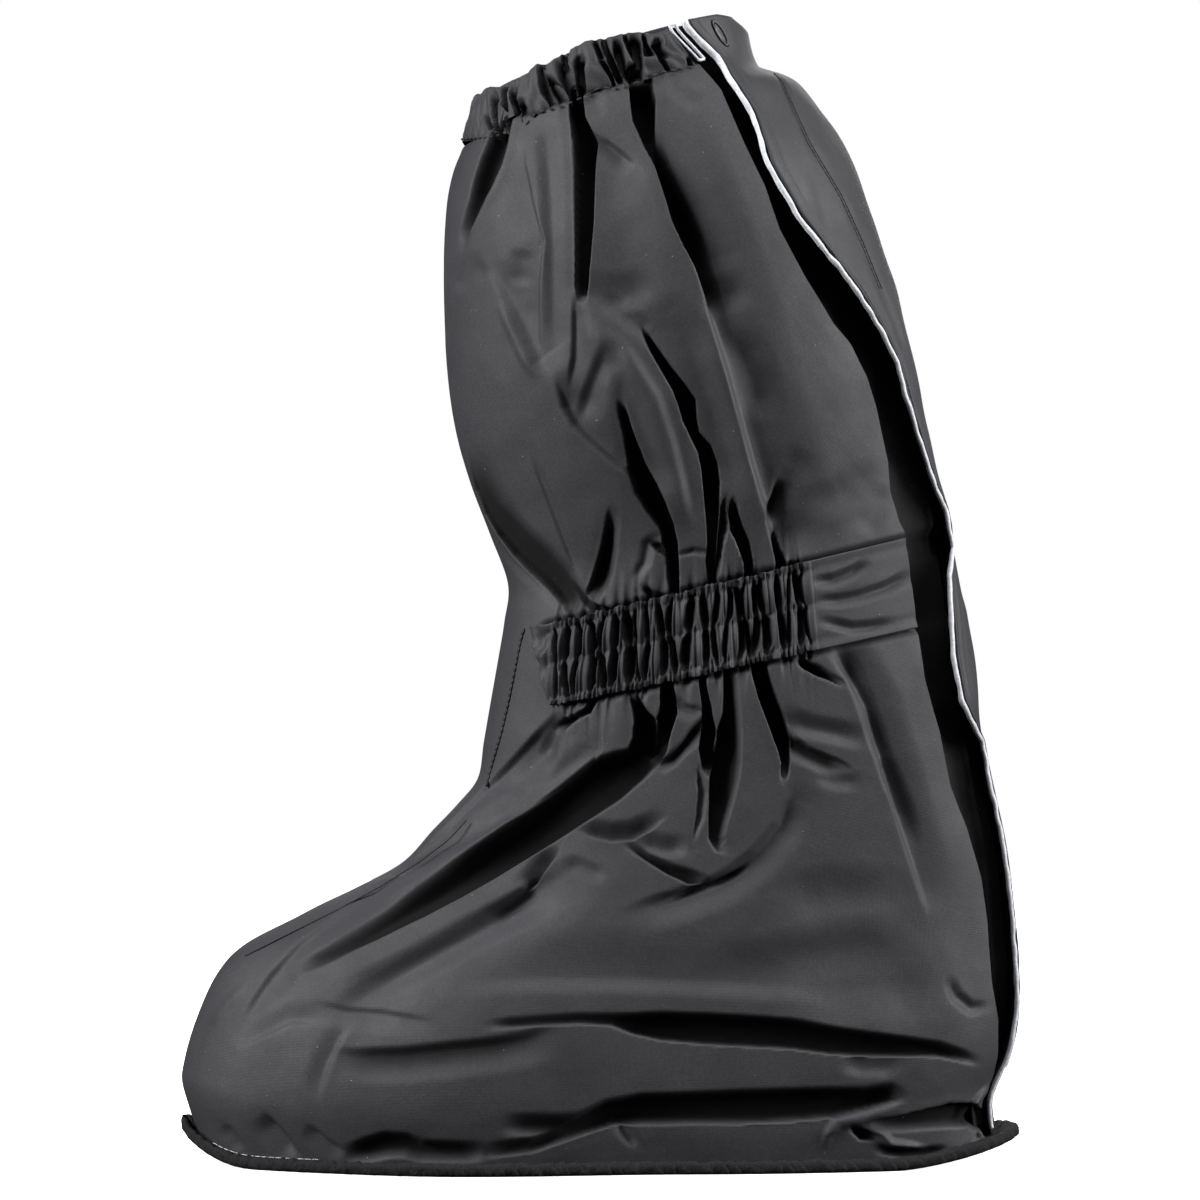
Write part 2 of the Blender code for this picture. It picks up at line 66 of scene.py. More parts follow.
camera_data = bpy.data.cameras.new("side camera")
camera_data.sensor_fit = "HORIZONTAL"
camera_data.angle = 2 * math.atan(VIEW_HEIGHT / 2 / CAMERA_DISTANCE)
camera = bpy.data.objects.new("side camera", camera_data)
camera.location = (0.0, -CAMERA_DISTANCE, CAMERA_HEIGHT)
camera.rotation_euler = (math.pi / 2, 0.0, 0.0)
bpy.context.collection.objects.link(camera)
bpy.context.scene.camera = camera
print("camera angle", round(math.degrees(camera_data.angle), 2))

# %% [markdown]
# ## The form of the boot
# Every strip of cloth lies on one form. A place on it is a level, counted in sections from the hem to the
# collar, and a turn, which is 0 on the front seam, grows to the outer side and is 0.5 at the back. The
# sections are shares of the shoe's named sizes, so one table gives the foot and another one the shaft.

# %% Sizes of the shoe
SOLE_LENGTH = 0.320
BALL_WIDTH = 0.115
SOLE_THICKNESS = 0.0024
TOE_LIFT = 0.0104
HEEL_LIFT = 0.0085
INSTEP_HEIGHT = 0.146
COLLAR_HEIGHT = 0.439
CALF_DEPTH = 0.175
CALF_WIDTH = 0.125
SEAT_GAP = 0.0003

# Columns: share of the length behind the toe, half width of the outer and of the inner side
PLAN = np.array(
    (
        (0.00, 0.84, 0.94),
        (0.12, 0.90, 0.98),
        (0.33, 1.00, 1.00),
        (0.62, 0.87, 0.75),
        (0.86, 0.80, 0.78),
        (1.00, 0.78, 0.78),
    )
)

# Columns: front end, its height, back end, its height, width, oval, hug on the sole
FOOT_SECTIONS = np.array(
    (
        (0.984, 0.000, 0.028, 0.000, 0.90, 0.00, 1.0),
        (1.001, 0.175, 0.033, 0.165, 0.98, 0.00, 0.6),
        (1.000, 0.247, 0.012, 0.270, 1.00, 0.05, 0.2),
        (0.987, 0.356, 0.002, 0.375, 0.99, 0.20, 0.0),
        (0.961, 0.483, 0.001, 0.500, 0.95, 0.45, 0.0),
        (0.927, 0.562, 0.006, 0.630, 0.91, 0.70, 0.0),
        (0.861, 0.637, 0.011, 0.733, 0.88, 0.90, 0.0),
        (0.795, 0.709, 0.018, 0.836, 0.86, 1.00, 0.0),
        (0.738, 0.777, 0.028, 0.938, 0.85, 1.00, 0.0),
        (0.701, 0.863, 0.039, 1.048, 0.85, 1.00, 0.0),
        (0.671, 0.932, 0.046, 1.151, 0.85, 1.00, 0.0),
        (0.647, 1.000, 0.051, 1.247, 0.85, 1.00, 0.0),
    )
)
SHAFT_SECTIONS = np.array(
    (
        (1.170, 0.364, 0.107, 0.451, 0.78, 1.00, 0.0),
        (1.155, 0.399, 0.125, 0.490, 0.77, 1.00, 0.0),
        (1.140, 0.433, 0.140, 0.526, 0.77, 1.00, 0.0),
        (1.125, 0.469, 0.157, 0.563, 0.77, 1.00, 0.0),
        (1.117, 0.503, 0.179, 0.597, 0.79, 1.00, 0.0),
        (1.157, 0.547, 0.203, 0.642, 0.85, 1.00, 0.0),
        (1.200, 0.592, 0.226, 0.688, 0.91, 1.00, 0.0),
        (1.232, 0.638, 0.255, 0.731, 0.96, 1.00, 0.0),
        (1.249, 0.686, 0.285, 0.777, 0.99, 1.00, 0.0),
        (1.257, 0.747, 0.331, 0.834, 1.00, 1.00, 0.0),
        (1.257, 0.793, 0.375, 0.877, 0.98, 1.00, 0.0),
        (1.251, 0.834, 0.434, 0.913, 0.93, 1.00, 0.0),
        (1.237, 0.863, 0.489, 0.940, 0.87, 1.00, 0.0),
        (1.214, 0.888, 0.567, 0.967, 0.80, 1.00, 0.0),
        (1.187, 0.929, 0.595, 1.000, 0.78, 1.00, 0.0),
    )
)

# Columns: level, turn of the flap's sewn edge
SEWN_EDGE = np.array(
    (
        (0.0, 0.56),
        (1.0, 0.57),
        (3.0, 0.58),
        (5.5, 0.58),
        (7.5, 0.59),
        (9.5, 0.59),
        (12.0, 0.60),
        (14.0, 0.61),
        (16.0, 0.61),
        (18.0, 0.61),
        (20.0, 0.60),
        (22.0, 0.58),
        (24.0, 0.56),
        (26.0, 0.55),
    )
)
COLLAR_LEVEL = 26.0
CUFF_LEVEL = 25.0
BAND_LOW_LEVEL = 12.6
BAND_HIGH_LEVEL = 14.7
print("sections", len(FOOT_SECTIONS), "on the foot and", len(SHAFT_SECTIONS), "on the shaft")


# %% Read a table between its rows
def smooth_rows(table, place):
    """The columns of a table at places between its rows, along a smooth curve."""
    last = len(table) - 1
    place = np.clip(place, 0.0, last)
    index = np.minimum(place.astype(int), last - 1)
    share = (place - index)[..., None]
    before = table[np.maximum(index - 1, 0)]
    low = table[index]
    high = table[index + 1]
    after = table[np.minimum(index + 2, last)]
    slope_low = (high - before) / 2
    slope_high = (after - low) / 2
    cubic = 2 * low - 2 * high + slope_low + slope_high
    square = 3 * high - 3 * low - 2 * slope_low - slope_high
    return ((cubic * share + square) * share + slope_low) * share + low


def eased_rows(table, key):
    """The columns of a table whose first column is the key, eased from row to row."""
    keys = table[:, 0]
    index = np.clip(np.searchsorted(keys, key) - 1, 0, len(keys) - 2)
    share = np.clip((key - keys[index]) / (keys[index + 1] - keys[index]), 0.0, 1.0)
    share = (share * share * (3 - 2 * share))[..., None]
    return table[index] * (1 - share) + table[index + 1] * share


def smoothstep(low, high, value):
    """0 below low, 1 above high and a soft rise between them."""
    share = np.clip((value - low) / (high - low), 0.0, 1.0)
    return share * share * (3 - 2 * share)


# %% Points and outward directions of the form
def sole_lift(x):
    """Height of the sole's underside, which curls up at the toe and at the heel."""
    share = np.clip(0.5 + x / SOLE_LENGTH, 0.0, 1.0)
    toe = np.maximum(0.0, 1 - share / 0.09) ** 2
    heel = np.maximum(0.0, (share - 0.85) / 0.15) ** 1.4
    return TOE_LIFT * toe + HEEL_LIFT * heel


def hem_height(x):
    return sole_lift(x) + SOLE_THICKNESS + SEAT_GAP


def plan_width(angle):
    """Half width of the sole's plan, in halves of the ball width."""
    share = (1 - np.cos(angle)) / 2
    plan = eased_rows(PLAN, share)
    fullness = 3.4 + (4.6 - 3.4) * share
    rounding = np.sqrt(np.maximum(0.0, 1 - np.abs(np.cos(angle)) ** fullness))
    return rounding * np.where(np.sin(angle) >= 0, plan[..., 1], plan[..., 2])


def built_sections():
    """Both tables in metres, with the ends counted from the middle of the sole."""
    heel = SOLE_LENGTH / 2
    foot = FOOT_SECTIONS.copy()
    foot[:, [0, 2]] = heel - foot[:, [0, 2]] * SOLE_LENGTH
    foot[:, [1, 3]] *= INSTEP_HEIGHT
    foot[:, 4] *= BALL_WIDTH / 2
    foot[0, 1] = hem_height(foot[0, 0])
    foot[0, 3] = hem_height(foot[0, 2])
    shaft = SHAFT_SECTIONS.copy()
    shaft[:, [0, 2]] = heel - shaft[:, [0, 2]] * CALF_DEPTH
    shaft[:, [1, 3]] *= COLLAR_HEIGHT
    shaft[:, 4] *= CALF_WIDTH / 2
    return np.vstack((foot, shaft))


SECTIONS = built_sections()


def form_points(level, turn):
    front, front_z, back, back_z, half, oval, hug = np.moveaxis(smooth_rows(SECTIONS, level), -1, 0)
    angle = 2 * np.pi * turn
    share = (1 - np.cos(angle)) / 2
    x = front + (back - front) * share
    z = front_z + (back_z - front_z) * share
    hem_line = SECTIONS[0, 1] + (SECTIONS[0, 3] - SECTIONS[0, 1]) * share
    z = z - hug * (hem_line - hem_height(x))
    width = half * (plan_width(angle) * (1 - oval) + np.abs(np.sin(angle)) * oval)
    return np.stack((x, -np.copysign(width, np.sin(angle)), z), axis=-1)


def form_normals(level, turn):
    across = form_points(level, turn + 0.002) - form_points(level, turn - 0.002)
    upward = form_points(np.minimum(level + 0.05, COLLAR_LEVEL), turn)
    upward = upward - form_points(np.maximum(level - 0.05, 0.0), turn)
    normal = np.cross(across, upward)
    return normal / np.linalg.norm(normal, axis=-1, keepdims=True)


def side_chart(points):
    """Where the side view shows points, in millimetres on the shoe's middle plane."""
    nearness = CAMERA_DISTANCE / (CAMERA_DISTANCE - np.abs(points[..., 1]))
    x = points[..., 0] * nearness
    z = CAMERA_HEIGHT + (points[..., 2] - CAMERA_HEIGHT) * nearness
    return np.stack((x, z), axis=-1) * 1000


# %% Slope the collar's rear corner
# Place behind the sole's middle and fall there, in millimetres
CORNER_FALL = ((44.0, 50.0, 54.0, 60.0), (0.0, 1.5, 5.0, 11.0))
CORNER_START_LEVEL = 23.8


def corner_drop(points, level):
    """How far the cloth near the collar's rear corner hangs below the level top edge, in metres."""
    fall = np.interp(side_chart(points)[..., 0], *CORNER_FALL)
    return fall / 1000 * smoothstep(CORNER_START_LEVEL, COLLAR_LEVEL, level)


# %% Chart the two edges of the slit
# Both lines are charted on the side view, in millimetres behind the sole's middle and above the ground
PANEL_LINE = (
    (150.0, -10), (150.0, 12), (150.4, 27), (153.0, 40), (153.2, 53), (151.0, 66), (149.0, 91),
    (146.6, 107), (141.3, 126), (134.8, 143), (130.8, 164), (125.2, 184), (122.3, 204), (121.0, 228),
    (119.6, 236), (115.1, 245), (111.8, 257), (110.8, 268), (106.3, 289), (102.8, 300), (96.6, 313),
    (90.0, 321), (78.3, 340), (69.4, 357), (63.6, 374), (56.7, 388), (46.6, 411), (38.9, 420), (30.0, 432),
    (26.0, 440),
)
PIPING_LINE = (
    (146.5, -10), (148.2, 4.6), (153.8, 12), (155.4, 17), (149.2, 24), (151.0, 31), (159.4, 46),
    (158.0, 64), (157.0, 88), (155.2, 104), (152.5, 129), (145.9, 157), (137.4, 176), (134.4, 193),
    (133.1, 210), (132.4, 224), (133.6, 237), (131.8, 246), (126.6, 258), (123.1, 269), (115.8, 293),
    (112.4, 306), (107.1, 317), (97.7, 333), (85.5, 349), (75.2, 362), (63.9, 381.5), (62.4, 386.5),
    (57.8, 401), (43.9, 423), (32.5, 435), (30.0, 441),
)
CORD_TO_EDGE = 1.6


def turns_on_line(line, levels, behind, first=0.22, last=0.497):
    """The turn between first and last at which each level of the form meets a charted line."""
    turns = np.linspace(first, last, 120)
    x, z = np.array(line).T
    found = []
    for level in levels:
        chart = side_chart(form_points(np.full(120, level), turns))
        found.append(np.interp(0.0, chart[:, 0] - np.interp(chart[:, 1], z, x) - behind, turns))
    return np.array(found)


SLIT_LEVELS = np.linspace(0.0, COLLAR_LEVEL, 261)
PANEL_TURNS = turns_on_line(PANEL_LINE, SLIT_LEVELS, 0.0)
FLAP_TURNS = np.maximum(turns_on_line(PIPING_LINE, SLIT_LEVELS, CORD_TO_EDGE), PANEL_TURNS + 0.004)
FLAP_TURNS = np.minimum(FLAP_TURNS, 0.482)
PANEL_TURNS = np.minimum(PANEL_TURNS, FLAP_TURNS - 0.012)


def slit_turns(level):
    """Turns of the outer panel's edge, the flap's free edge and the flap's sewn edge."""
    level = np.asarray(level, float)
    panel = np.interp(level, SLIT_LEVELS, PANEL_TURNS)
    flap = np.interp(level, SLIT_LEVELS, FLAP_TURNS)
    return np.stack((panel, flap, eased_rows(SEWN_EDGE, level)[..., 1]))


print("slit at the ankle", slit_turns(np.array([14.0]))[:, 0].round(3))


# %% [markdown]
# ## Creases
# Slack cloth has two kinds of relief here: deep pleats with a sharp lip, and shallow hollows. Both are
# troughs along a path with a width. They are charted in millimetres on the side view, ahead of or
# behind the sole's middle and above the ground. The first softness is that of the toe-side or lower edge,
# and the second that of the heel-side or upper one. A negative depth is a ridge.

# %% How a trough sinks the cloth
Crease = namedtuple("Crease", "depth soft_a soft_b path")
PLEAT_DEPTH = 3.0
# Depth in millimetres at which a pleat's painted shade is full
PAINTED_SHADE_DEPTH = 4.5
LIP_PLACE = 2.2
LIP_WIDTH = 1.5
LIP_LEAN = 1.6


def nearest_on_path(chart, path):
    """For chart points: distance to a path, its width and side there, the way to it and how far along."""
    count = len(chart)
    distance = np.full(count, 1e9)
    width = np.zeros(count)
    side = np.zeros(count)
    towards = np.zeros((count, 2))
    along = np.zeros(count)
    lengths = [math.dist(a[:2], b[:2]) for a, b in zip(path, path[1:])]
    done = 0.0
    for start, end, length in zip(path, path[1:], lengths):
        run = np.array(end[:2], float) - start[:2]
        place = chart - start[:2]
        share = np.clip(place @ run / length**2, 0.0, 1.0)
        off = place - share[:, None] * run
        reach = np.hypot(off[:, 0], off[:, 1])
        closer = reach < distance
        distance[closer] = reach[closer]
        width[closer] = (start[2] + (end[2] - start[2]) * share)[closer]
        side[closer] = np.sign(off[:, 0] * run[1] - off[:, 1] * run[0])[closer]
        towards[closer] = (-off / np.maximum(reach, 1e-6)[:, None])[closer]
        along[closer] = (done + share * length)[closer]
        done += length
    return distance, width, side, towards, along, done


def end_fade(crease, end):
    """How far a crease takes to fade in: a pointed or soft end fades slowly, a wide crisp one ends short."""
    soft = max(crease.soft_a, crease.soft_b)
    return max(3.0 if soft <= 1.6 else 4.0 + 3.0 * soft, 14.0 - 8.0 * crease.path[end][2])


def crease_relief(chart, creases):
    """Sink in millimetres, lean of the lips in the chart, and the share of painted shade that each point's
    depth in a pleat gives.
    """
    cubes = np.zeros(len(chart))
    shallow = np.zeros(len(chart))
    lean = np.zeros((len(chart), 2))
    for crease in creases:
        corners = np.array([point[:2] for point in crease.path], float)
        crisp = (crease.soft_a <= 1.0, crease.soft_b <= 1.0)
        reaches = [1.3 if sharp else 2.3 * soft for sharp, soft in zip(crisp, (crease.soft_a, crease.soft_b))]
        widest = max(point[2] for point in crease.path)
        reach = widest + max(reaches) + 4.0
        close = np.all((chart > corners.min(0) - reach) & (chart < corners.max(0) + reach), axis=1)
        if not close.any():
            continue
        distance, width, side, towards, along, length = nearest_on_path(chart[close], crease.path)
        soft = np.where(side >= 0, *reaches)
        sharp = np.where(side >= 0, *crisp)
        start = np.maximum(0.0, width - np.where(sharp, 0.3, soft / 4))
        first, last = (min(end_fade(crease, end), length / 3.2) for end in (0, -1))
        ends = smoothstep(-1.5, first, along) * smoothstep(-1.5, last, length - along)
        strength = ends * np.minimum(1.0, (width + 0.6) / (0.7 * widest + 0.6))
        sink = crease.depth * strength * (1 - smoothstep(0.0, 1.0, (distance - start) / soft))
        if crease.depth >= PLEAT_DEPTH:
            lip = np.exp(-(((distance - start - LIP_PLACE) / LIP_WIDTH) ** 2)) * strength * sharp
            lean[close] += towards * (min(crease.depth * 0.17, LIP_LEAN) * lip)[:, None]
            cubes[close] += np.maximum(sink, 0.0) ** 3
            shallow[close] += np.minimum(sink, 0.0)
        else:
            shallow[close] += sink
    pleats = np.cbrt(cubes)
    return pleats + shallow, lean, np.clip(pleats / PAINTED_SHADE_DEPTH, 0.0, 1.0)


# %% How a fold drops behind its ridge
Ridge = namedtuple("Ridge", "depth drop rise path")


def ridge_relief(chart, ridges):
    """Folds whose cloth falls away behind a ridge, on the heel-side or upper one, and comes back slowly."""
    total = np.zeros(len(chart))
    for ridge in ridges:
        distance, scale, side, towards, along, length = nearest_on_path(chart, ridge.path)
        fade = min(14.0, length / 2.5)
        ends = smoothstep(-1.0, fade, along) * smoothstep(-1.0, fade, length - along)
        back = smoothstep(0.6 * ridge.drop, ridge.drop + ridge.rise, distance)
        fall = smoothstep(0.0, ridge.drop, distance) * (1 - back)
        crest = -0.08 * np.exp(-((distance / (1.2 * ridge.drop)) ** 2))
        total += ridge.depth * scale * ends * np.where(side < 0, fall + crest, crest)
    return total


# %% Creases of the shaft
SHAFT_CREASES = (
    # The fan of pleats under the collar's front
    Crease(9.0, 1.5, 0.9, (
        (-35, 404, 2.4), (-37, 396, 2.6), (-38.5, 390, 3.0), (-41, 383, 3.4), (-44, 375, 3.0),
        (-47, 367, 1.8), (-51, 357, 0.8), (-53, 348, 0.3),
    )),
    Crease(1.5, 5.0, 1.0, (
        (-30, 391, 0.3), (-29.5, 382, 0.3), (-27, 368, 0.4), (-23, 353, 0.5), (-24.5, 335, 0.5),
        (-25, 315, 0.4), (-22, 309, 0.2),
    )),
    # The upright pleat under the middle of the collar, and the edge that runs on from its foot
    Crease(11.0, 0.8, 1.0, (
        (-9.5, 410, 2.6), (-8.8, 400, 3.3), (-6.2, 391, 5.0), (-6.4, 380, 4.4), (-6.4, 360, 3.9),
        (-6.9, 345, 3.1), (-7.4, 335, 2.4), (-7.4, 331, 1.4),
    )),
    Crease(1.6, 0.8, 3.0, (
        (-9.8, 333, 0.3), (-9.8, 318, 0.3), (-10, 308, 0.3), (-11.5, 298, 0.4), (-12, 295, 0.2),
    )),
    Crease(2.4, 4.0, 0.8, ((-3.5, 397, 0.4), (1.5, 391.5, 0.5), (7.5, 387, 0.5), (13.5, 382, 0.2))),
    Crease(1.7, 3.0, 5.0, (
        (-12, 334, 0.6), (-5, 332.5, 1.6), (3, 331, 1.4), (12, 331.5, 1.0), (24, 336, 0.4),
    )),
    Crease(1.6, 2.5, 2.5, ((-2, 330, 0.3), (7, 326, 0.9), (16, 319, 0.6), (21, 312, 0.3))),
    Crease(2.4, 8.0, 8.0, ((-1, 408, 0.4), (2, 388, 1.2), (6, 362, 2.0), (12, 338, 1.6), (20, 312, 0.4))),
    # The long straight ridge, with the pleat at its top and the shade behind it
    Crease(10.0, 0.8, 0.9, (
        (15.5, 414, 4.6), (16.5, 408, 5.4), (17, 400, 4.8), (19, 391, 2.6), (21.5, 382, 1.2),
        (24, 374, 0.8),
    )),
    Crease(8.0, 0.9, 2.6, (
        (20, 392, 1.6), (23, 381, 1.6), (26.5, 372, 2.2), (31, 361, 3.4), (35, 352, 3.2), (38.5, 343, 1.8),
        (42.5, 331, 0.9), (45, 322, 0.4),
    )),
    Crease(1.6, 4.0, 4.0, ((36, 331, 0.4), (46, 331, 1.2), (60, 336, 0.3))),
    # The pointed pleat that drops to the band
    Crease(10.5, 0.8, 1.0, (
        (15.5, 320, 0.4), (20.5, 311, 1.5), (26, 302.5, 2.2), (30.5, 296, 3.0), (33.7, 290, 3.9),
        (34.6, 284, 3.1), (36.7, 277.5, 2.0), (40.5, 272, 3.2), (42.3, 266, 3.6), (43, 259, 3.6),
        (43, 251, 2.9), (43, 243, 2.0), (42.8, 236, 1.4), (42.2, 229, 1.6), (43.5, 219, 1.7),
    )),
    # The pleat under the diagonal fold, and the crest of that fold
    Crease(10.5, 0.8, 1.0, (
        (7.5, 292, 0.6), (9, 285, 1.5), (11, 278, 1.9), (12.7, 271, 3.2), (14.3, 264.5, 4.0),
        (17.7, 257, 4.8), (21.7, 250, 4.4), (25.6, 243, 3.0), (27.2, 236, 2.7), (27.8, 229, 2.6),
        (28.3, 221, 2.0), (28.5, 212, 1.6),
    )),
    Crease(2.2, 2.0, 4.0, ((5, 316, 0.3), (-1, 300, 1.0), (-4.5, 292, 1.1), (-8, 281, 0.4))),
    # The hollow between that pleat and the long ridge
    Crease(2.6, 6.0, 6.0, (
        (12, 331, 2.5), (24, 322, 4.0), (33, 308, 4.5), (42, 288, 3.6), (48, 268, 2.4), (53, 246, 1.0),
    )),
    # Rolls of cloth between the pleats
    Crease(-2.2, 3.6, 2.0, (
        (3, 320, 0.4), (12, 306, 1.4), (20, 292, 2.0), (25, 276, 2.2), (30, 258, 1.6), (35, 238, 0.5),
    )),
    Crease(-1.6, 3.6, 3.0, ((-4, 326, 0.4), (1, 314, 1.4), (3, 302, 1.6), (1, 288, 0.4))),
    Crease(-1.2, 4.0, 3.0, ((40, 322, 0.4), (50, 290, 1.0), (58, 262, 0.8), (64, 240, 0.3))),
    # Small tents between the long ridge and the band
    Crease(4.0, 0.8, 0.8, (
        (50, 257, 0.2), (48, 249, 0.5), (47.5, 243, 0.6), (46.5, 233, 0.6), (45, 221, 0.9),
    )),
    Crease(8.0, 0.8, 0.8, (
        (51.2, 255, 0.4), (51.8, 248, 1.6), (53, 242, 2.4), (55.5, 236, 2.6), (57.3, 229, 2.0),
        (57.9, 219, 1.9),
    )),
    Crease(7.0, 0.8, 0.9, ((66, 242, 0.3), (68, 235, 1.3), (70, 229, 2.0), (70.8, 220, 2.6))),
    Crease(3.2, 1.0, 3.0, ((69.5, 261, 0.3), (68.3, 254, 0.9), (66.5, 249, 1.5), (65, 244, 1.0))),
    # Soft hollows of the rear panel
    Crease(2.0, 4.0, 5.0, ((52, 320, 0.3), (58, 306, 1.2), (61, 298, 1.4), (62, 282, 0.3))),
    Crease(1.3, 4.0, 4.0, ((109, 269, 0.5), (97, 257, 1.4), (86, 252, 1.5), (79, 249, 0.8))),
    Crease(1.2, 3.0, 4.0, ((79, 273, 0.6), (74, 262, 1.2), (70, 251, 0.8))),
    Crease(1.0, 4.0, 3.0, ((111, 259, 0.6), (106, 248, 1.2), (101, 239, 0.6))),
    Crease(0.9, 2.0, 2.0, ((27, 417, 0.5), (29.5, 411, 0.9), (36, 406.5, 0.9), (41, 408, 0.3))),
    Crease(1.0, 2.0, 3.0, ((-4.5, 409, 0.6), (-1.5, 403, 1.4), (2, 401.5, 0.8))),
    # The fold down the front edge
    Crease(7.5, 1.0, 4.6, (
        (-51, 274, 0.3), (-46.5, 257, 1.0), (-42.5, 248, 1.5), (-37, 240, 2.3), (-31, 233, 3.0),
        (-24.5, 227, 3.4), (-18.5, 221, 3.0), (-13, 214, 2.0), (-8, 206, 1.2),
    )),
    Crease(5.5, 0.9, 2.2, (
        (4, 251, 0.3), (3, 242, 0.9), (1.8, 234, 1.5), (0, 226, 2.0), (-2.5, 219, 1.8), (-5, 214, 0.9),
    )),
    Crease(4.2, 0.8, 0.8, (
        (-16, 224, 0.3), (-11, 220, 1.1), (-8, 216, 1.3), (-4, 212, 1.2), (4, 210, 0.9), (11, 210, 0.4),
    )),
    Crease(1.0, 0.8, 1.2, (
        (-27, 271, 0.2), (-22, 259, 0.3), (-17, 246, 0.3), (-12, 233, 0.3), (-7, 221, 0.2),
    )),
    Crease(3.2, 0.9, 0.9, ((16.5, 220, 0.5), (19, 217, 1.4), (24, 215, 1.1), (27.5, 215, 0.3))),
    Crease(3.6, 0.8, 0.8, ((19.5, 236.5, 0.4), (23, 233.5, 1.1), (26.5, 230.5, 0.8))),
    Crease(1.5, 1.2, 1.5, ((22, 240, 0.3), (18, 236, 0.8), (17, 229, 0.8), (13, 222, 0.4))),
    Crease(1.6, 1.0, 1.0, ((31.5, 232, 0.3), (36, 233.5, 0.5), (40.5, 232.5, 0.3))),
    Crease(1.2, 2.5, 4.0, ((-57, 333, 0.6), (-50, 340, 1.4), (-43, 344, 0.6))),
    Crease(1.1, 3.0, 3.0, ((-30, 350, 0.5), (-31, 343, 1.0), (-31.5, 335, 0.5))),
    Crease(-1.2, 1.5, 3.0, ((-39, 330, 0.3), (-34, 319, 0.5), (-29, 308, 0.5), (-24, 299, 0.3))),
)
SHAFT_RIDGES = (
    # The long straight ridge, whose cloth falls away towards the heel
    Ridge(8.5, 3.0, 27.0, (
        (8, 412, 0.2), (13, 398, 0.5), (20, 381, 0.9), (27, 363, 1.2), (35, 343, 1.1), (39.5, 330, 0.8),
        (44, 315, 0.6), (48.5, 300, 0.5), (56.5, 270, 0.5), (63, 248, 0.6), (68, 226, 0.6),
    )),
    # The diagonal fold over the front of the ankle
    Ridge(3.0, 2.2, 15.0, (
        (-19, 302, 0.6), (-15, 288, 1.0), (-11, 281, 1.0), (-4, 274, 1.0), (4, 267, 1.0), (11, 260, 0.9),
        (20, 250, 0.6),
    )),
    # Soft planes of the front panel
    Ridge(2.2, 6.0, 12.0, (
        (-27, 402, 0.6), (-25.5, 380, 1.0), (-24, 350, 1.0), (-23.5, 320, 0.8), (-21, 304, 0.4),
    )),
    Ridge(2.4, 5.0, 16.0, ((-46, 345, 0.6), (-36, 322, 1.0), (-27, 304, 0.8), (-19, 296, 0.4))),
)
print("creases on the shaft", len(SHAFT_CREASES), "and ridges", len(SHAFT_RIDGES))

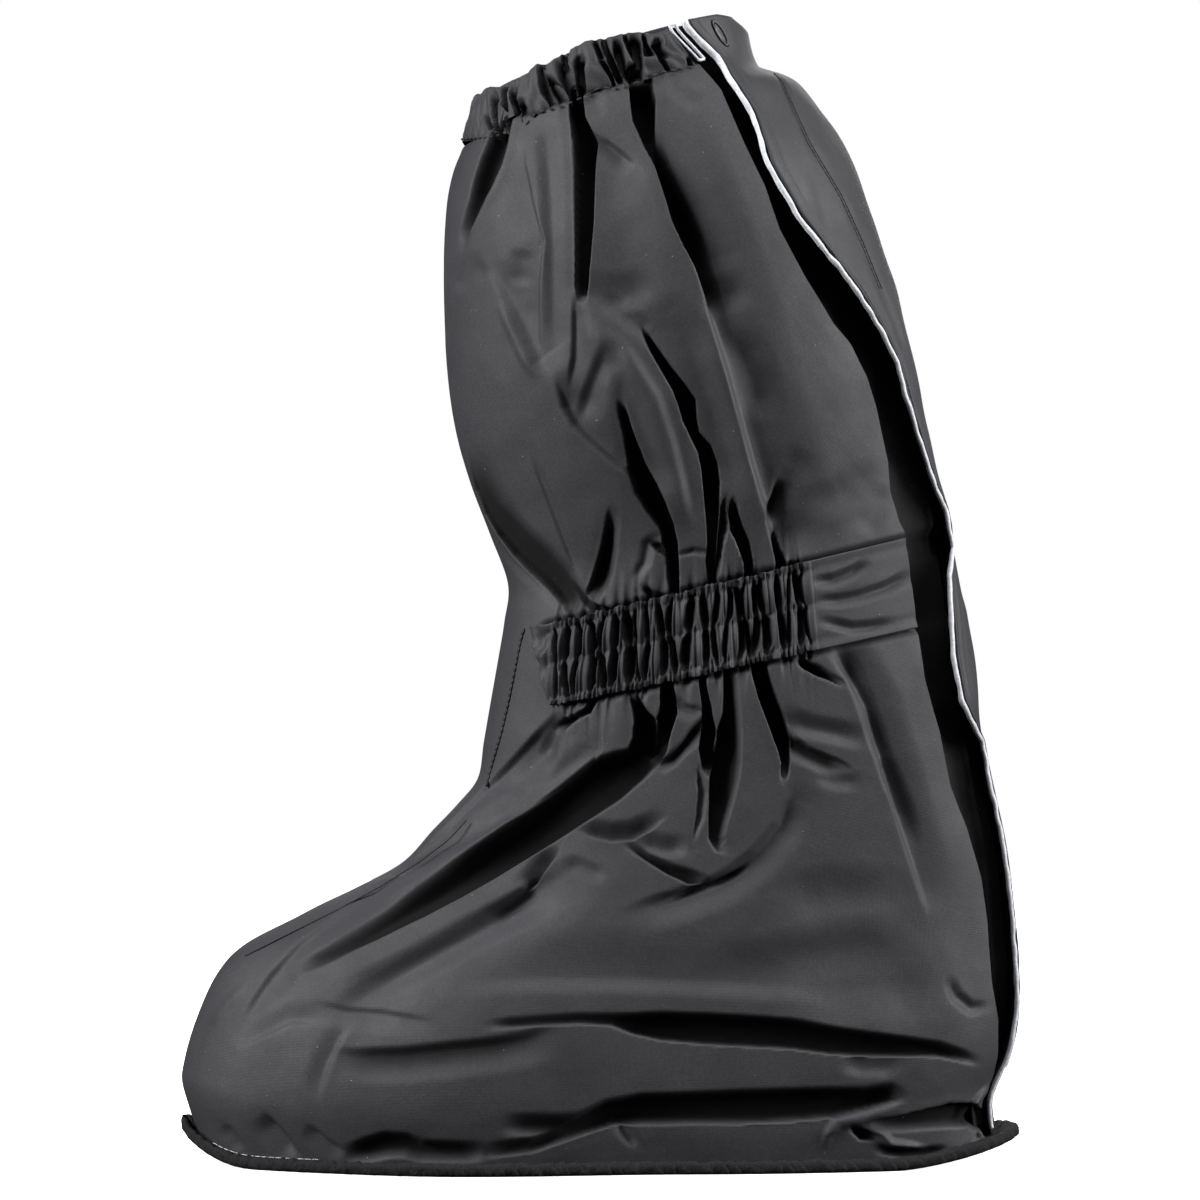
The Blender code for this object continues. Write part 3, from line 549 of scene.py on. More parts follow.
# %% Creases of the foot
FOOT_CREASES = (
    # The great diagonal pleat from under the band to the toe, and the roll above it
    Crease(12.0, 2.0, 1.2, (
        (23, 157, 3.0), (11, 149.5, 5.3), (3, 145, 7.1), (-8, 137.3, 6.6), (-20, 129, 6.0),
        (-31, 121.5, 5.4), (-43, 113.6, 4.8), (-56, 105, 3.9), (-69, 97, 3.0), (-81, 90.5, 2.1),
        (-93, 84, 1.5), (-104, 77.8, 1.1), (-116, 72, 0.5),
    )),
    Crease(-2.4, 3.5, 3.0, (
        (1.5, 159, 0.8), (-2.5, 149.5, 1.2), (-14, 140.5, 1.2), (-27, 132, 1.2), (-41, 123, 1.2),
        (-56, 114.3, 1.2), (-71, 106.5, 1.0), (-86, 99.5, 0.6),
    )),
    Crease(1.9, 4.5, 0.9, (
        (-0.5, 169, 0.3), (-0.5, 157, 0.4), (-4, 151, 0.4), (-10, 146.5, 0.4), (-20, 140, 0.45),
        (-31, 132.7, 0.4), (-45, 125, 0.4), (-60, 117.5, 0.4), (-75, 110, 0.4), (-89, 106.5, 0.2),
    )),
    # Pleats that open into it from the band
    Crease(9.0, 1.0, 1.0, (
        (12, 180, 0.6), (14.6, 173, 2.2), (16.6, 167, 4.0), (16.5, 160, 4.6), (14, 154, 4.6),
    )),
    Crease(9.0, 0.9, 1.0, (
        (25, 186, 2.0), (26, 178, 3.2), (26.3, 171, 3.6), (25, 163.5, 2.4), (23.3, 157, 2.0),
        (20.5, 151.5, 1.8),
    )),
    Crease(3.4, 0.9, 1.4, (
        (39, 171, 0.3), (36.2, 165, 0.8), (32.6, 159, 1.1), (28, 153.3, 0.9), (21.5, 148.7, 0.6),
    )),
    Crease(1.6, 2.5, 0.9, ((30, 178, 0.3), (32.5, 173.5, 0.5), (38.5, 171, 0.3))),
    Crease(4.4, 0.8, 0.9, (
        (-17.5, 165, 1.0), (-14, 167, 1.6), (-9, 169.8, 0.8), (-4.6, 172.2, 1.1), (-2.6, 177, 1.7),
        (-2, 185, 1.3),
    )),
    Crease(2.4, 2.0, 2.4, ((-14, 171, 0.4), (-17, 165.5, 0.9), (-20, 159, 0.9), (-23, 151, 0.4))),
    Crease(2.4, 3.0, 3.5, ((-19, 163, 0.8), (-23, 155, 1.4), (-28, 147, 1.2), (-34, 138, 0.8))),
    Crease(1.9, 3.0, 3.0, ((-33, 136, 0.8), (-44, 128.8, 1.9), (-55, 121.5, 1.4), (-62, 117, 0.6))),
    # The second, softer diagonal under the great one
    Crease(2.9, 3.0, 4.5, (
        (-14, 106, 0.6), (-22.5, 101, 1.6), (-30, 97, 2.2), (-40, 92.5, 2.0), (-50, 87.3, 1.5),
        (-60, 82, 1.5), (-72, 75.7, 1.4), (-85, 69, 1.0), (-100, 61, 0.4),
    )),
    Crease(2.6, 1.5, 2.0, ((-20, 110, 0.3), (-28, 102, 0.9), (-36, 97, 0.8), (-46, 92, 0.3))),
    Crease(3.4, 3.0, 0.9, ((-16, 119, 0.5), (-21, 112.5, 0.9), (-25, 107.5, 1.0), (-30, 103, 0.6))),
    # The leaf between the two upright pleats, and those pleats
    Crease(10.0, 0.8, 0.8, (
        (39, 192, 0.9), (39.5, 182, 1.4), (41, 173, 2.0), (41.2, 165, 2.4), (40.4, 157, 2.7),
        (41.5, 149, 2.4),
    )),
    Crease(10.5, 0.8, 2.4, (
        (48.5, 193, 1.0), (48.8, 181, 1.2), (49.2, 171, 1.6), (48.5, 161, 2.6), (47.2, 152, 3.7),
        (45.8, 145, 4.0), (44.7, 137, 3.0), (43.7, 130, 2.0), (43.2, 123, 1.2), (45.5, 118.7, 0.8),
        (49.5, 117, 0.4),
    )),
    Crease(11.0, 0.9, 0.9, (
        (60.3, 195, 2.6), (61.6, 187, 3.4), (64.2, 178, 3.7), (67.6, 169, 3.7), (70.6, 160, 3.4),
        (71.6, 152, 1.6), (71, 144.5, 0.7),
    )),
    Crease(3.6, 3.0, 0.8, (
        (73, 166, 0.4), (76, 160.3, 0.6), (80, 156.6, 0.9), (85.5, 154, 1.2), (91, 152, 0.8),
        (97, 149, 0.3),
    )),
    Crease(6.5, 0.8, 0.8, (
        (75.5, 192, 0.6), (80, 189.2, 1.7), (84.5, 187, 1.9), (89, 184.6, 1.0), (94, 181.8, 0.4),
    )),
    # The ridge behind the ankle, with its shade
    Crease(2.4, 1.4, 3.0, (
        (88, 197, 0.7), (91.5, 192.7, 1.3), (96, 187, 1.0), (99, 180, 0.4), (102.2, 171, 0.6),
        (105.6, 161, 1.1), (108.2, 153, 0.5), (111.2, 146, 1.3), (114.2, 139, 1.3), (117.2, 130, 0.6),
        (120.5, 118, 0.3),
    )),
    Crease(2.2, 2.0, 3.0, ((68, 170, 0.3), (80, 165, 0.9), (90, 163, 0.8), (104, 160, 0.3))),
    Crease(1.1, 2.0, 2.0, ((83, 146.5, 0.5), (92, 144.3, 0.9), (101, 144, 0.4))),
    # The hook that turns back to the waist
    Crease(2.9, 2.0, 5.0, (
        (76, 146, 0.3), (74.5, 137, 0.7), (70, 127, 1.2), (61, 116, 1.4), (52, 109, 1.4), (42, 103.8, 1.2),
        (30, 99.8, 0.9), (18, 96, 0.5), (8, 91, 0.3),
    )),
    Crease(3.4, 0.9, 1.2, ((58, 113, 0.3), (50, 108.5, 0.5), (42, 105, 0.6), (33, 102, 0.5), (24, 99, 0.3))),
    Crease(5.0, 0.9, 1.2, (
        (8, 121, 0.3), (18, 115, 0.7), (27, 110, 1.3), (34, 107.5, 1.8), (41.5, 106, 0.7), (44, 105.6, 0.3),
    )),
    Crease(2.0, 1.6, 3.0, ((14, 121, 0.3), (24, 118.5, 0.8), (34, 118, 0.3))),
    Crease(3.0, 0.9, 3.0, (
        (-12, 128, 0.3), (-4, 124.8, 0.8), (4, 123.2, 1.3), (12, 123.6, 1.2), (19, 127, 0.8),
        (26, 132, 0.3),
    )),
    Crease(2.4, 0.9, 1.0, ((37, 151, 0.3), (38.6, 141, 0.5), (37.9, 131, 0.5), (36, 121.5, 0.3))),
    Crease(1.2, 2.0, 2.0, ((-15, 114, 0.3), (-6, 111, 0.8), (2.5, 107.3, 0.4))),
    Crease(1.5, 6.0, 6.0, ((126, 98, 0.4), (106, 101, 1.0), (88, 101, 2.0), (66, 96, 0.5))),
    Crease(1.6, 6.0, 6.0, ((132, 88, 0.4), (110, 82, 1.0), (92, 80, 2.4), (72, 76, 2.0), (40, 66, 0.4))),
    # The long pleat along the side of the foot
    Crease(10.0, 0.8, 1.6, (
        (-44, 50, 0.4), (-25, 51.3, 0.5), (-8, 52.4, 0.7), (5, 52, 1.2), (14, 50, 3.2), (24, 49, 4.5),
        (40, 48, 5.0), (58, 47, 5.0), (74, 46, 4.8), (90, 43.4, 4.3), (104, 42, 3.6), (118, 41.2, 2.7),
        (130, 40.5, 1.7), (139, 38.3, 1.0), (146.5, 35.5, 0.3),
    )),
    Crease(3.2, 5.0, 1.8, (
        (-106, 39, 0.3), (-92, 38.6, 0.9), (-76, 38.6, 1.5), (-60, 40, 1.9), (-44, 42, 1.5),
        (-30, 44.6, 0.9), (-12, 49.5, 0.3),
    )),
    Crease(1.3, 2.0, 2.0, ((91, 36.5, 0.4), (101, 34.3, 1.0), (110, 34, 1.0), (118, 36.5, 0.4))),
    # The long pleat over the sole
    Crease(9.5, 1.0, 2.4, (
        (-46, 0.5, 0.6), (-36, 1.6, 1.0), (-26, 3.2, 1.3), (-16, 7.2, 1.8), (-6, 11.2, 2.6), (4, 15, 3.6),
        (16, 16.5, 4.4), (34, 16.8, 4.6), (54, 17.2, 5.0), (74, 18.0, 4.8), (90, 19.0, 4.2),
        (102, 20.6, 2.8), (112, 23, 2.0), (118.5, 22.4, 0.7),
    )),
    Crease(4.2, 1.6, 3.0, ((-39, 11, 0.6), (-26, 11, 1.2), (-14, 10.6, 1.6), (-4, 12.3, 2.0))),
    Crease(5.0, 1.5, 2.5, (
        (-99, 0, 1.0), (-90, 2, 2.0), (-82, 4, 2.4), (-75, 3.8, 2.0), (-69, 1.6, 1.5), (-60, 1.4, 1.5),
        (-50, 1.0, 1.2), (-42, 1.2, 0.8),
    )),
    Crease(1.8, 1.4, 1.4, ((5.5, 12.4, 0.4), (10, 8.3, 0.9), (14.5, 4.2, 0.3))),
    # Small crumples over the toe's edge
    Crease(2.6, 4.0, 0.8, ((-130, 17, 0.3), (-122.5, 8.5, 0.5), (-116, 0, 0.6))),
    Crease(1.4, 2.5, 1.2, ((-145, 12.5, 0.3), (-141, 7.5, 0.5), (-138, 2.5, 0.5))),
    Crease(1.5, 3.0, 1.0, ((-113, 12.5, 0.3), (-105, 6, 0.5), (-98, 1, 0.5))),
    Crease(-0.7, 1.2, 1.2, ((-150.5, 50.5, 0.2), (-143.5, 58.5, 0.3), (-136, 66.5, 0.2))),
    Crease(1.1, 3.5, 1.2, ((-104, 52.5, 0.3), (-119, 53.3, 0.7), (-128, 49, 0.7), (-140, 43, 0.3))),
    Crease(1.2, 3.5, 1.2, ((-112, 59.5, 0.3), (-99, 56, 0.7), (-85, 55, 0.8), (-62, 51, 0.3))),
    Crease(1.0, 3.0, 3.0, ((-118, 71, 0.4), (-122, 67, 1.0), (-125, 62, 0.4))),
    # Crumples of the heel
    Crease(1.8, 1.6, 1.4, ((134, 69.5, 0.3), (137.2, 62, 0.9), (143, 57.3, 0.9), (149.5, 58.5, 0.3))),
    Crease(5.5, 1.6, 1.0, (
        (100, 12.6, 0.4), (116, 13.6, 1.8), (126, 15.5, 2.6), (135, 17, 3.4), (143, 17, 3.6),
        (149, 13.5, 2.8), (151.5, 7.5, 1.4),
    )),
    Crease(4.0, 0.8, 0.8, ((96.5, 11.5, 0.7), (101, 8.6, 2.0), (107.5, 7.3, 0.7))),
    Crease(4.0, 1.0, 1.2, ((107, 2.5, 0.9), (117, 1.2, 1.4), (126, 1.2, 1.1), (134, 3, 0.7))),
    Crease(-1.9, 1.1, 1.1, (
        (86.5, 2.5, 0.4), (87.5, 9, 0.7), (92, 12.8, 0.8), (100, 14.2, 0.8), (108, 17, 0.8),
        (117, 20.3, 0.4),
    )),
    Crease(-1.9, 1.1, 1.1, (
        (102, 13.6, 0.4), (108, 9.3, 0.7), (112, 5, 0.8), (120, 3.8, 0.7), (129, 1.5, 0.4),
    )),
    Crease(-2.6, 1.0, 1.0, ((150.5, 28.5, 0.4), (145.5, 22.5, 0.8), (141.5, 17, 0.8), (138.5, 12.5, 0.4))),
    Crease(-2.4, 1.0, 1.0, (
        (139.5, 11.5, 0.3), (142.5, 12.8, 0.6), (146, 11, 0.6), (146.5, 7, 0.6), (143, 4.5, 0.4),
    )),
    Crease(2.2, 8.0, 9.0, ((66, 63, 0.5), (84, 66, 2.0), (105, 67, 4.0), (126, 62, 2.0), (138, 57, 0.5))),
)
FOOT_RIDGES = (
    # A light line across the toe's side
    Ridge(1.3, 2.5, 7.0, (
        (-107, 18, 0.3), (-105.5, 27, 0.8), (-103, 36, 1.0), (-98.5, 45, 1.0), (-92, 53, 0.4),
    )),
    # The line down the instep, in front of the great pleat
    Ridge(2.6, 2.4, 9.0, (
        (-17, 173, 0.6), (-27, 162, 1.0), (-36, 152, 1.0), (-46, 141.8, 1.0), (-57, 131, 1.0),
        (-66, 122.5, 0.9), (-80, 110, 0.8), (-100, 95, 0.7), (-117, 83, 0.7), (-128, 71, 0.6),
        (-135, 60, 0.5), (-141, 48, 0.3),
    )),
    # The edge behind the ankle
    Ridge(3.6, 3.0, 14.0, (
        (86, 199, 0.6), (95.5, 183, 1.0), (101, 172.5, 0.9), (106, 156, 1.0), (110, 143, 1.1),
        (114, 128, 0.9), (121, 106, 0.5), (126, 90, 0.2),
    )),
    # Broad planes of the instep and of the quarter
    Ridge(2.6, 7.0, 18.0, ((-6, 121, 0.4), (-30, 106, 0.8), (-60, 88, 1.0), (-90, 70, 0.8), (-108, 60, 0.4))),
    Ridge(2.0, 8.0, 20.0, ((-60, 60, 0.4), (-30, 62, 0.9), (10, 62, 1.0), (50, 60, 0.9), (90, 58, 0.5))),
)
print("creases on the foot", len(FOOT_CREASES), "and ridges", len(FOOT_RIDGES))


# %% [markdown]
# ## Finishes
# The shell is a coated polyester: black, satin, with a fine weave under the coating and specks of dust.
# The weave follows the cloth's own map, in metres, and the slower changes follow the object. Deep in a
# pleat the coating is duller, and its colour is darkened towards black as painted shade, so each sheet
# carries an attribute that says how deep its points lie.

# %% Helpers for nodes
def new_finish(name):
    """A material, its tree and its shader."""
    material = bpy.data.materials.new(name)
    material.use_nodes = True
    return material, material.node_tree, material.node_tree.nodes["Principled BSDF"]


def add_node(tree, kind, inputs=None, **settings):
    """A node with its settings, and with values or links on its inputs."""
    node = tree.nodes.new(kind)
    for name, value in settings.items():
        setattr(node, name, value)
    for name, value in (inputs or {}).items():
        if isinstance(value, bpy.types.NodeSocket):
            tree.links.new(value, node.inputs[name])
        else:
            node.inputs[name].default_value = value
    return node


def noise_value(tree, place, scale, detail=2.0, roughness=0.5):
    inputs = {"Vector": place, "Scale": scale, "Detail": detail, "Roughness": roughness}
    return add_node(tree, "ShaderNodeTexNoise", inputs).outputs[0]


def as_range(tree, value, low, high, new_low, new_high):
    inputs = {0: value, 1: low, 2: high, 3: new_low, 4: new_high}
    return add_node(tree, "ShaderNodeMapRange", inputs).outputs[0]


def blend_colours(tree, share, first, second):
    inputs = {0: share, 6: first, 7: second}
    return add_node(tree, "ShaderNodeMix", inputs, data_type="RGBA").outputs[2]


def raised(tree, height, distance, strength, under=None):
    inputs = {"Height": height, "Distance": distance, "Strength": strength}
    if under:
        inputs["Normal"] = under
    return add_node(tree, "ShaderNodeBump", inputs).outputs[0]


def crossed_waves(tree, place, scale):
    """Fine humps where two sets of waves cross, as in a weave or a grip."""
    inputs = {"Vector": place, "Scale": scale}
    ways = [add_node(tree, "ShaderNodeTexWave", inputs, bands_direction=way).outputs[1] for way in ("X", "Y")]
    return add_node(tree, "ShaderNodeMath", {0: ways[0], 1: ways[1]}, operation="MULTIPLY").outputs[0]


# %% The coated cloth
def coated_cloth(name, colour, painted_shade_colour, rough, thread):
    material, tree, shader = new_finish(name)
    place = add_node(tree, "ShaderNodeTexCoord")
    solid = place.outputs["Object"]
    flat = place.outputs["UV"]
    sunk = add_node(tree, "ShaderNodeAttribute", attribute_name="sunk").outputs["Fac"]
    cloudy = noise_value(tree, solid, 22.0, 3.0)
    cloudy_share = as_range(tree, cloudy, 0.3, 0.7, 0.0, 1.0)
    lighter = (*[part * 1.35 for part in colour[:3]], 1.0)
    base = blend_colours(tree, cloudy_share, colour, lighter)
    grain = as_range(tree, noise_value(tree, solid, 1100.0, 2.0, 0.7), 0.35, 0.65, 0.0, 0.4)
    base = blend_colours(tree, grain, base, (*[part * 0.4 for part in colour[:3]], 1.0))
    # Painted shade: deep in a pleat, as the sunk attribute says, the colour blends towards the painted shade
    # colour
    base = blend_colours(tree, sunk, base, painted_shade_colour)
    specks = as_range(tree, noise_value(tree, solid, 900.0, 1.0), 0.80, 0.84, 0.0, 0.55)
    base = blend_colours(tree, specks, base, (0.45, 0.45, 0.44, 1.0))
    tree.links.new(base, shader.inputs["Base Color"])
    patchy = as_range(tree, noise_value(tree, solid, 60.0, 3.0), 0.3, 0.7, rough - 0.05, rough + 0.06)
    dull = as_range(tree, sunk, 0.0, 1.0, 0.0, 0.40)
    together = add_node(tree, "ShaderNodeMath", {0: patchy, 1: dull}, operation="ADD").outputs[0]
    tree.links.new(together, shader.inputs["Roughness"])
    weave = crossed_waves(tree, flat, 2 * math.pi / 20 / thread)
    crumple = noise_value(tree, solid, 34.0, 3.5, 0.5)
    bump = raised(tree, crumple, 0.0016, 0.42)
    bump = raised(tree, weave, 0.00008, 0.6, bump)
    tree.links.new(bump, shader.inputs["Normal"])
    shader.inputs["Specular IOR Level"].default_value = 0.4
    return material


SATIN_BLACK = (0.036, 0.036, 0.041, 1)
# The colour of the painted shade deep in the shell's pleats
PLEAT_PAINTED_SHADE = (0.0012, 0.0012, 0.0015, 1)
# The gusset's colour is painted shade: darker than the shell cloth, and blended fully to its painted shade
# colour
MATTE_BLACK = (0.006, 0.006, 0.0065, 1)
GUSSET_PAINTED_SHADE = (0.002, 0.002, 0.002, 1)
SHELL_CLOTH = coated_cloth("black coated cloth", SATIN_BLACK, PLEAT_PAINTED_SHADE, 0.60, 0.0006)
GUSSET_CLOTH = coated_cloth("gusset cloth in painted shade", MATTE_BLACK, GUSSET_PAINTED_SHADE, 0.85, 0.0008)


# %% The binding's yarn, the thread, the rubber, the reflective cord and the stud's lacquer
def plain_finish(name, colour, rough, grain, depth, second=None):
    """A finish with a fine grain, and a second colour in patches of that grain."""
    material, tree, shader = new_finish(name)
    solid = add_node(tree, "ShaderNodeTexCoord").outputs["Object"]
    fine = noise_value(tree, solid, grain, 3.0, 0.6)
    share = as_range(tree, fine, 0.35, 0.7, 0.0, 1.0)
    base = blend_colours(tree, share, colour, second or tuple(part * 1.5 for part in colour[:3]) + (1.0,))
    tree.links.new(base, shader.inputs["Base Color"])
    tree.links.new(as_range(tree, fine, 0.3, 0.7, rough + 0.08, rough - 0.06), shader.inputs["Roughness"])
    tree.links.new(raised(tree, fine, depth, 0.6), shader.inputs["Normal"])
    return material, tree, shader


YARN_BLACK = (0.010, 0.010, 0.011, 1)
RUBBER_BLACK = (0.016, 0.016, 0.016, 1)
LACQUER_BLACK = (0.005, 0.005, 0.006, 1)
BINDING_YARN, _, yarn_shader = plain_finish("black binding yarn", YARN_BLACK, 0.85, 1400.0, 0.0005)
yarn_shader.inputs["Specular IOR Level"].default_value = 0.25
BLACK_THREAD = plain_finish("black thread", YARN_BLACK, 0.6, 2500.0, 0.0001)[0]
SOLE_RUBBER, rubber_tree, rubber_shader = plain_finish("sole rubber", RUBBER_BLACK, 0.6, 900.0, 0.0001)
REFLEX_CORD = plain_finish(
    "silver reflective cord", (0.55, 0.57, 0.60, 1), 0.42, 700.0, 0.0003, (0.80, 0.82, 0.86, 1)
)[0]
STUD_LACQUER, _, stud_shader = plain_finish("dark lacquered metal", LACQUER_BLACK, 0.42, 300.0, 0.0)
stud_shader.inputs["Metallic"].default_value = 0.2

# The sole's underside has a fine pyramid grip
grip = crossed_waves(rubber_tree, add_node(rubber_tree, "ShaderNodeTexCoord").outputs["Object"], 78.0)
rubber_tree.links.new(raised(rubber_tree, grip, 0.0008, 0.8), rubber_shader.inputs["Normal"])
print("finishes", [material.name for material in bpy.data.materials])


# %% [markdown]
# ## From a flat grid to a sheet of cloth
# A sheet of cloth is flat before it is sewn, so each one starts as a flat grid. The squares are then
# spread evenly over the form, and the creases sink them. The map of the cloth stays that of the flat
# sheet.

# %% Make and finish a piece
def new_object(name, shape):
    mesh = bpy.data.meshes.new(name)
    shape.to_mesh(mesh)
    shape.free()
    mesh.shade_smooth()
    piece = bpy.data.objects.new(name, mesh)
    bpy.context.collection.objects.link(piece)
    return piece


def finish_piece(piece, material, slot, *nodes):
    """The piece's finish, its slot, which is not used, the body that it rides on, and the CAD nodes that it
    stands for.
    """
    piece.data.materials.clear()
    piece.data.materials.append(material)
    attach(piece, "root")
    if nodes:
        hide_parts(*nodes)
    print(piece.name, "faces", len(piece.data.polygons))
    return piece


def flat_grid(columns, rows):
    """A flat grid, and the shares of its corners along and up."""
    shape = bmesh.new()
    shape.loops.layers.uv.new("cloth map")
    bmesh.ops.create_grid(shape, x_segments=columns, y_segments=rows, size=0.5, calc_uvs=True)
    corners = np.array([vert.co[:2] for vert in shape.verts]) + 0.5
    return shape, corners[:, 0], corners[:, 1]


def sheet_piece(name, columns, rows, cut, place, thickness=0.0):
    """A sheet whose corners place() moves from their shares to the form; cut is its flat size in metres."""
    shape, along, up = flat_grid(columns, rows)
    points, sunk = place(along, up)
    piece = new_object(name, shape)
    mesh = piece.data
    mesh.vertices.foreach_set("co", points.astype(np.float32).ravel())
    # The sunk attribute carries the painted pleat shade that place() gives
    depth = mesh.attributes.new("sunk", "FLOAT", "POINT")
    depth.data.foreach_set("value", sunk.astype(np.float32))
    cloth_map = mesh.uv_layers[0].data
    flat = np.empty(2 * len(cloth_map), np.float32)
    cloth_map.foreach_get("uv", flat)
    flat = flat.reshape(-1, 2) * np.array(cut, np.float32)
    cloth_map.foreach_set("uv", flat.ravel())
    mesh.update()
    if thickness:
        wall = piece.modifiers.new("cloth thickness", "SOLIDIFY")
        wall.thickness = thickness
        wall.offset = -1
    return piece


# %% Spread the squares evenly
def walked_shares(points):
    steps = np.linalg.norm(np.diff(points, axis=0), axis=1)
    walked = np.concatenate(([0.0], np.cumsum(steps)))
    return walked / walked[-1]


def spread(along, up, low, high, edges):
    """Levels and turns for shares along and up, with even steps along the cloth."""
    shares = np.linspace(0.0, 1.0, 500)
    middle = np.full(500, (low + high) / 2)
    start, end = edges(middle)
    levels = low + (high - low) * shares
    level = np.interp(up, walked_shares(form_points(levels, (start + end) / 2)), levels)
    share = np.interp(along, walked_shares(form_points(middle, start + (end - start) * shares)), shares)
    start, end = edges(level)
    return level, start + (end - start) * share


def waves(points, size, seed):
    """Smooth unevenness from -1 to 1 with lumps of about a size in metres."""
    random = np.random.default_rng(seed)
    ways = random.normal(size=(14, 3))
    ways *= (2 * np.pi / size * random.uniform(0.6, 1.4, 14) / np.linalg.norm(ways, axis=1))[:, None]
    shifts = random.uniform(0, 2 * np.pi, 14)
    return np.sin(points @ ways.T + shifts).sum(axis=1) / 5.0


# %% [markdown]
# ## The shell
# The shell is two panels with a seam down the front. Each panel is cut in two under the elastic band, so
# that the squares stay near one millimetre. Under the cuff and the band the shell is sunk, as the elastic
# draws it in.

# %% Chart the band's pleats
# Columns: place along the view at mid height, half width, in millimetres
BAND_PLEATS = np.array(
    (
        (-17.0, 0.4),
        (-12.5, 0.9),
        (-9.0, 0.7),
        (-3.5, 0.8),
        (1.0, 0.9),
        (5.2, 1.1),
        (10.8, 1.6),
        (14.5, 0.6),
        (18.0, 0.8),
        (23.5, 1.2),
        (28.0, 1.0),
        (34.5, 1.8),
        (40.3, 1.2),
        (44.5, 0.8),
        (49.0, 0.7),
        (53.0, 1.0),
        (56.5, 0.8),
        (59.5, 1.1),
        (63.0, 1.4),
        (69.5, 1.1),
        (73.0, 0.5),
        (76.0, 1.2),
        (79.5, 0.7),
    )
)
EVEN_PLACES = np.arange(-16, 92, 4.7)
FAR_PLEATS = np.stack(
    (EVEN_PLACES + 1.2 * np.sin(EVEN_PLACES * 1.7), 0.9 + 0.35 * np.sin(EVEN_PLACES * 0.9)), axis=1
)
BAND_STITCH_ROWS = (0.10, 0.52, 0.91)
BAND_CREASES = (
    Crease(2.2, 1.5, 1.5, ((81, 221, 0.4), (90, 222, 0.9), (97, 225, 0.9), (104, 229.5, 0.3))),
    Crease(1.8, 1.5, 1.5, (
        (82, 214, 0.4), (92, 214, 0.8), (100, 215.5, 0.8), (110, 219, 0.8), (121, 226, 0.3),
    )),
    Crease(1.8, 1.2, 1.5, (
        (83, 206.5, 0.4), (90, 205, 0.8), (97, 203.5, 0.8), (104, 204, 0.7), (114, 206, 0.3),
    )),
)


def shirring(place, height, pleats, seed):
    """Depth from 0 to 1 of the pleats at places along the band, and how near its stitch rows they are."""
    random = np.random.default_rng(seed)
    jitter = random.uniform(-1.0, 1.0, (len(pleats), 4))
    channel = np.clip(np.searchsorted(BAND_STITCH_ROWS, height), 0, 3)
    from_row = np.min([np.abs(height - row) for row in BAND_STITCH_ROWS], axis=0)
    pinch = np.exp(-((from_row / 0.055) ** 2))
    depth = np.zeros_like(place)
    for index, (middle, width) in enumerate(pleats):
        lean = (height - 0.5) * (-2.8 if middle < 30 else -0.6)
        bow = 0.9 * np.sin(np.pi * (1.3 + 0.5 * jitter[index][0]) * height + 2.1 * index)
        off = np.abs(place - middle - lean - 0.8 * jitter[index][channel] * (1 - pinch) - bow)
        wide = width * (1.0 + 0.25 * jitter[index][channel] - 0.5 * pinch) + 0.2
        depth = np.maximum(depth, np.exp(-((off / wide) ** 4)) * (1 - 0.3 * pinch))
    return depth, pinch


# %% Lay the shell's cloth
UNDER_FLAP = 0.018
BAND_END_GAP = 0.006
BAND_FRONT_TURN = 0.085
FRONT_SLANT = 0.035
SPLIT_LEVEL = 13.65


def far_side(creases):
    """The creases of the side that the photo hides: the same habits, moved and softened."""
    moved = []
    for crease in creases:
        path = tuple((x * 0.97 + 3, z * 0.985 + 2, width) for x, z, width in crease.path)
        soft = (max(crease.soft_a, 1.6), max(crease.soft_b, 1.6))
        moved.append(Crease(crease.depth * 0.62, *soft, path))
    return tuple(moved)


def far_ridges(ridges):
    """The ridges of the side that the photo hides, moved and softened in the same way."""
    moved = []
    for ridge in ridges:
        path = tuple((x * 0.95 + 4, z, scale) for x, z, scale in ridge.path)
        moved.append(Ridge(ridge.depth * 0.7, ridge.drop * 1.3, ridge.rise, path))
    return tuple(moved)


NEAR_CREASES = SHAFT_CREASES + FOOT_CREASES
NEAR_RIDGES = SHAFT_RIDGES + FOOT_RIDGES
FAR_CREASES = far_side(NEAR_CREASES)
FAR_RIDGES = far_ridges(NEAR_RIDGES)


def band_front(level):
    """The turn at which the band starts: its front end is sewn down at a slant."""
    up = np.clip((level - BAND_LOW_LEVEL) / (BAND_HIGH_LEVEL - BAND_LOW_LEVEL), 0.0, 1.0)
    return BAND_FRONT_TURN + FRONT_SLANT * (1 - up)


def drawn_in(level, turn):
    """How far, in millimetres, the elastic of the band and of the cuff draws the shell in."""
    start = smoothstep(0.004, 0.022, np.abs(turn) - band_front(level))
    band = smoothstep(12.4, 12.75, level) * (1 - smoothstep(14.55, 14.85, level)) * start
    return 3.4 * band + 3.2 * smoothstep(24.85, 25.1, level)


def edge_flutes(level, turn, pleats, seed):
    """Small pleats that run on from the band into the shell and fade."""
    middle = (BAND_LOW_LEVEL + BAND_HIGH_LEVEL) / 2
    place = side_chart(form_points(np.full_like(turn, middle), turn))[:, 0]
    depth = shirring(place, np.where(level > middle, 0.85, 0.15), pleats, seed)[0]
    away = 17.0 * (np.maximum(level - BAND_HIGH_LEVEL, 0) + np.maximum(BAND_LOW_LEVEL - level, 0))
    reach = np.exp(-away / 5.0) * (1 - smoothstep(78.0, 86.0, place))
    return 2.2 * depth * reach * smoothstep(0.0, 0.015, np.abs(turn) - band_front(level))


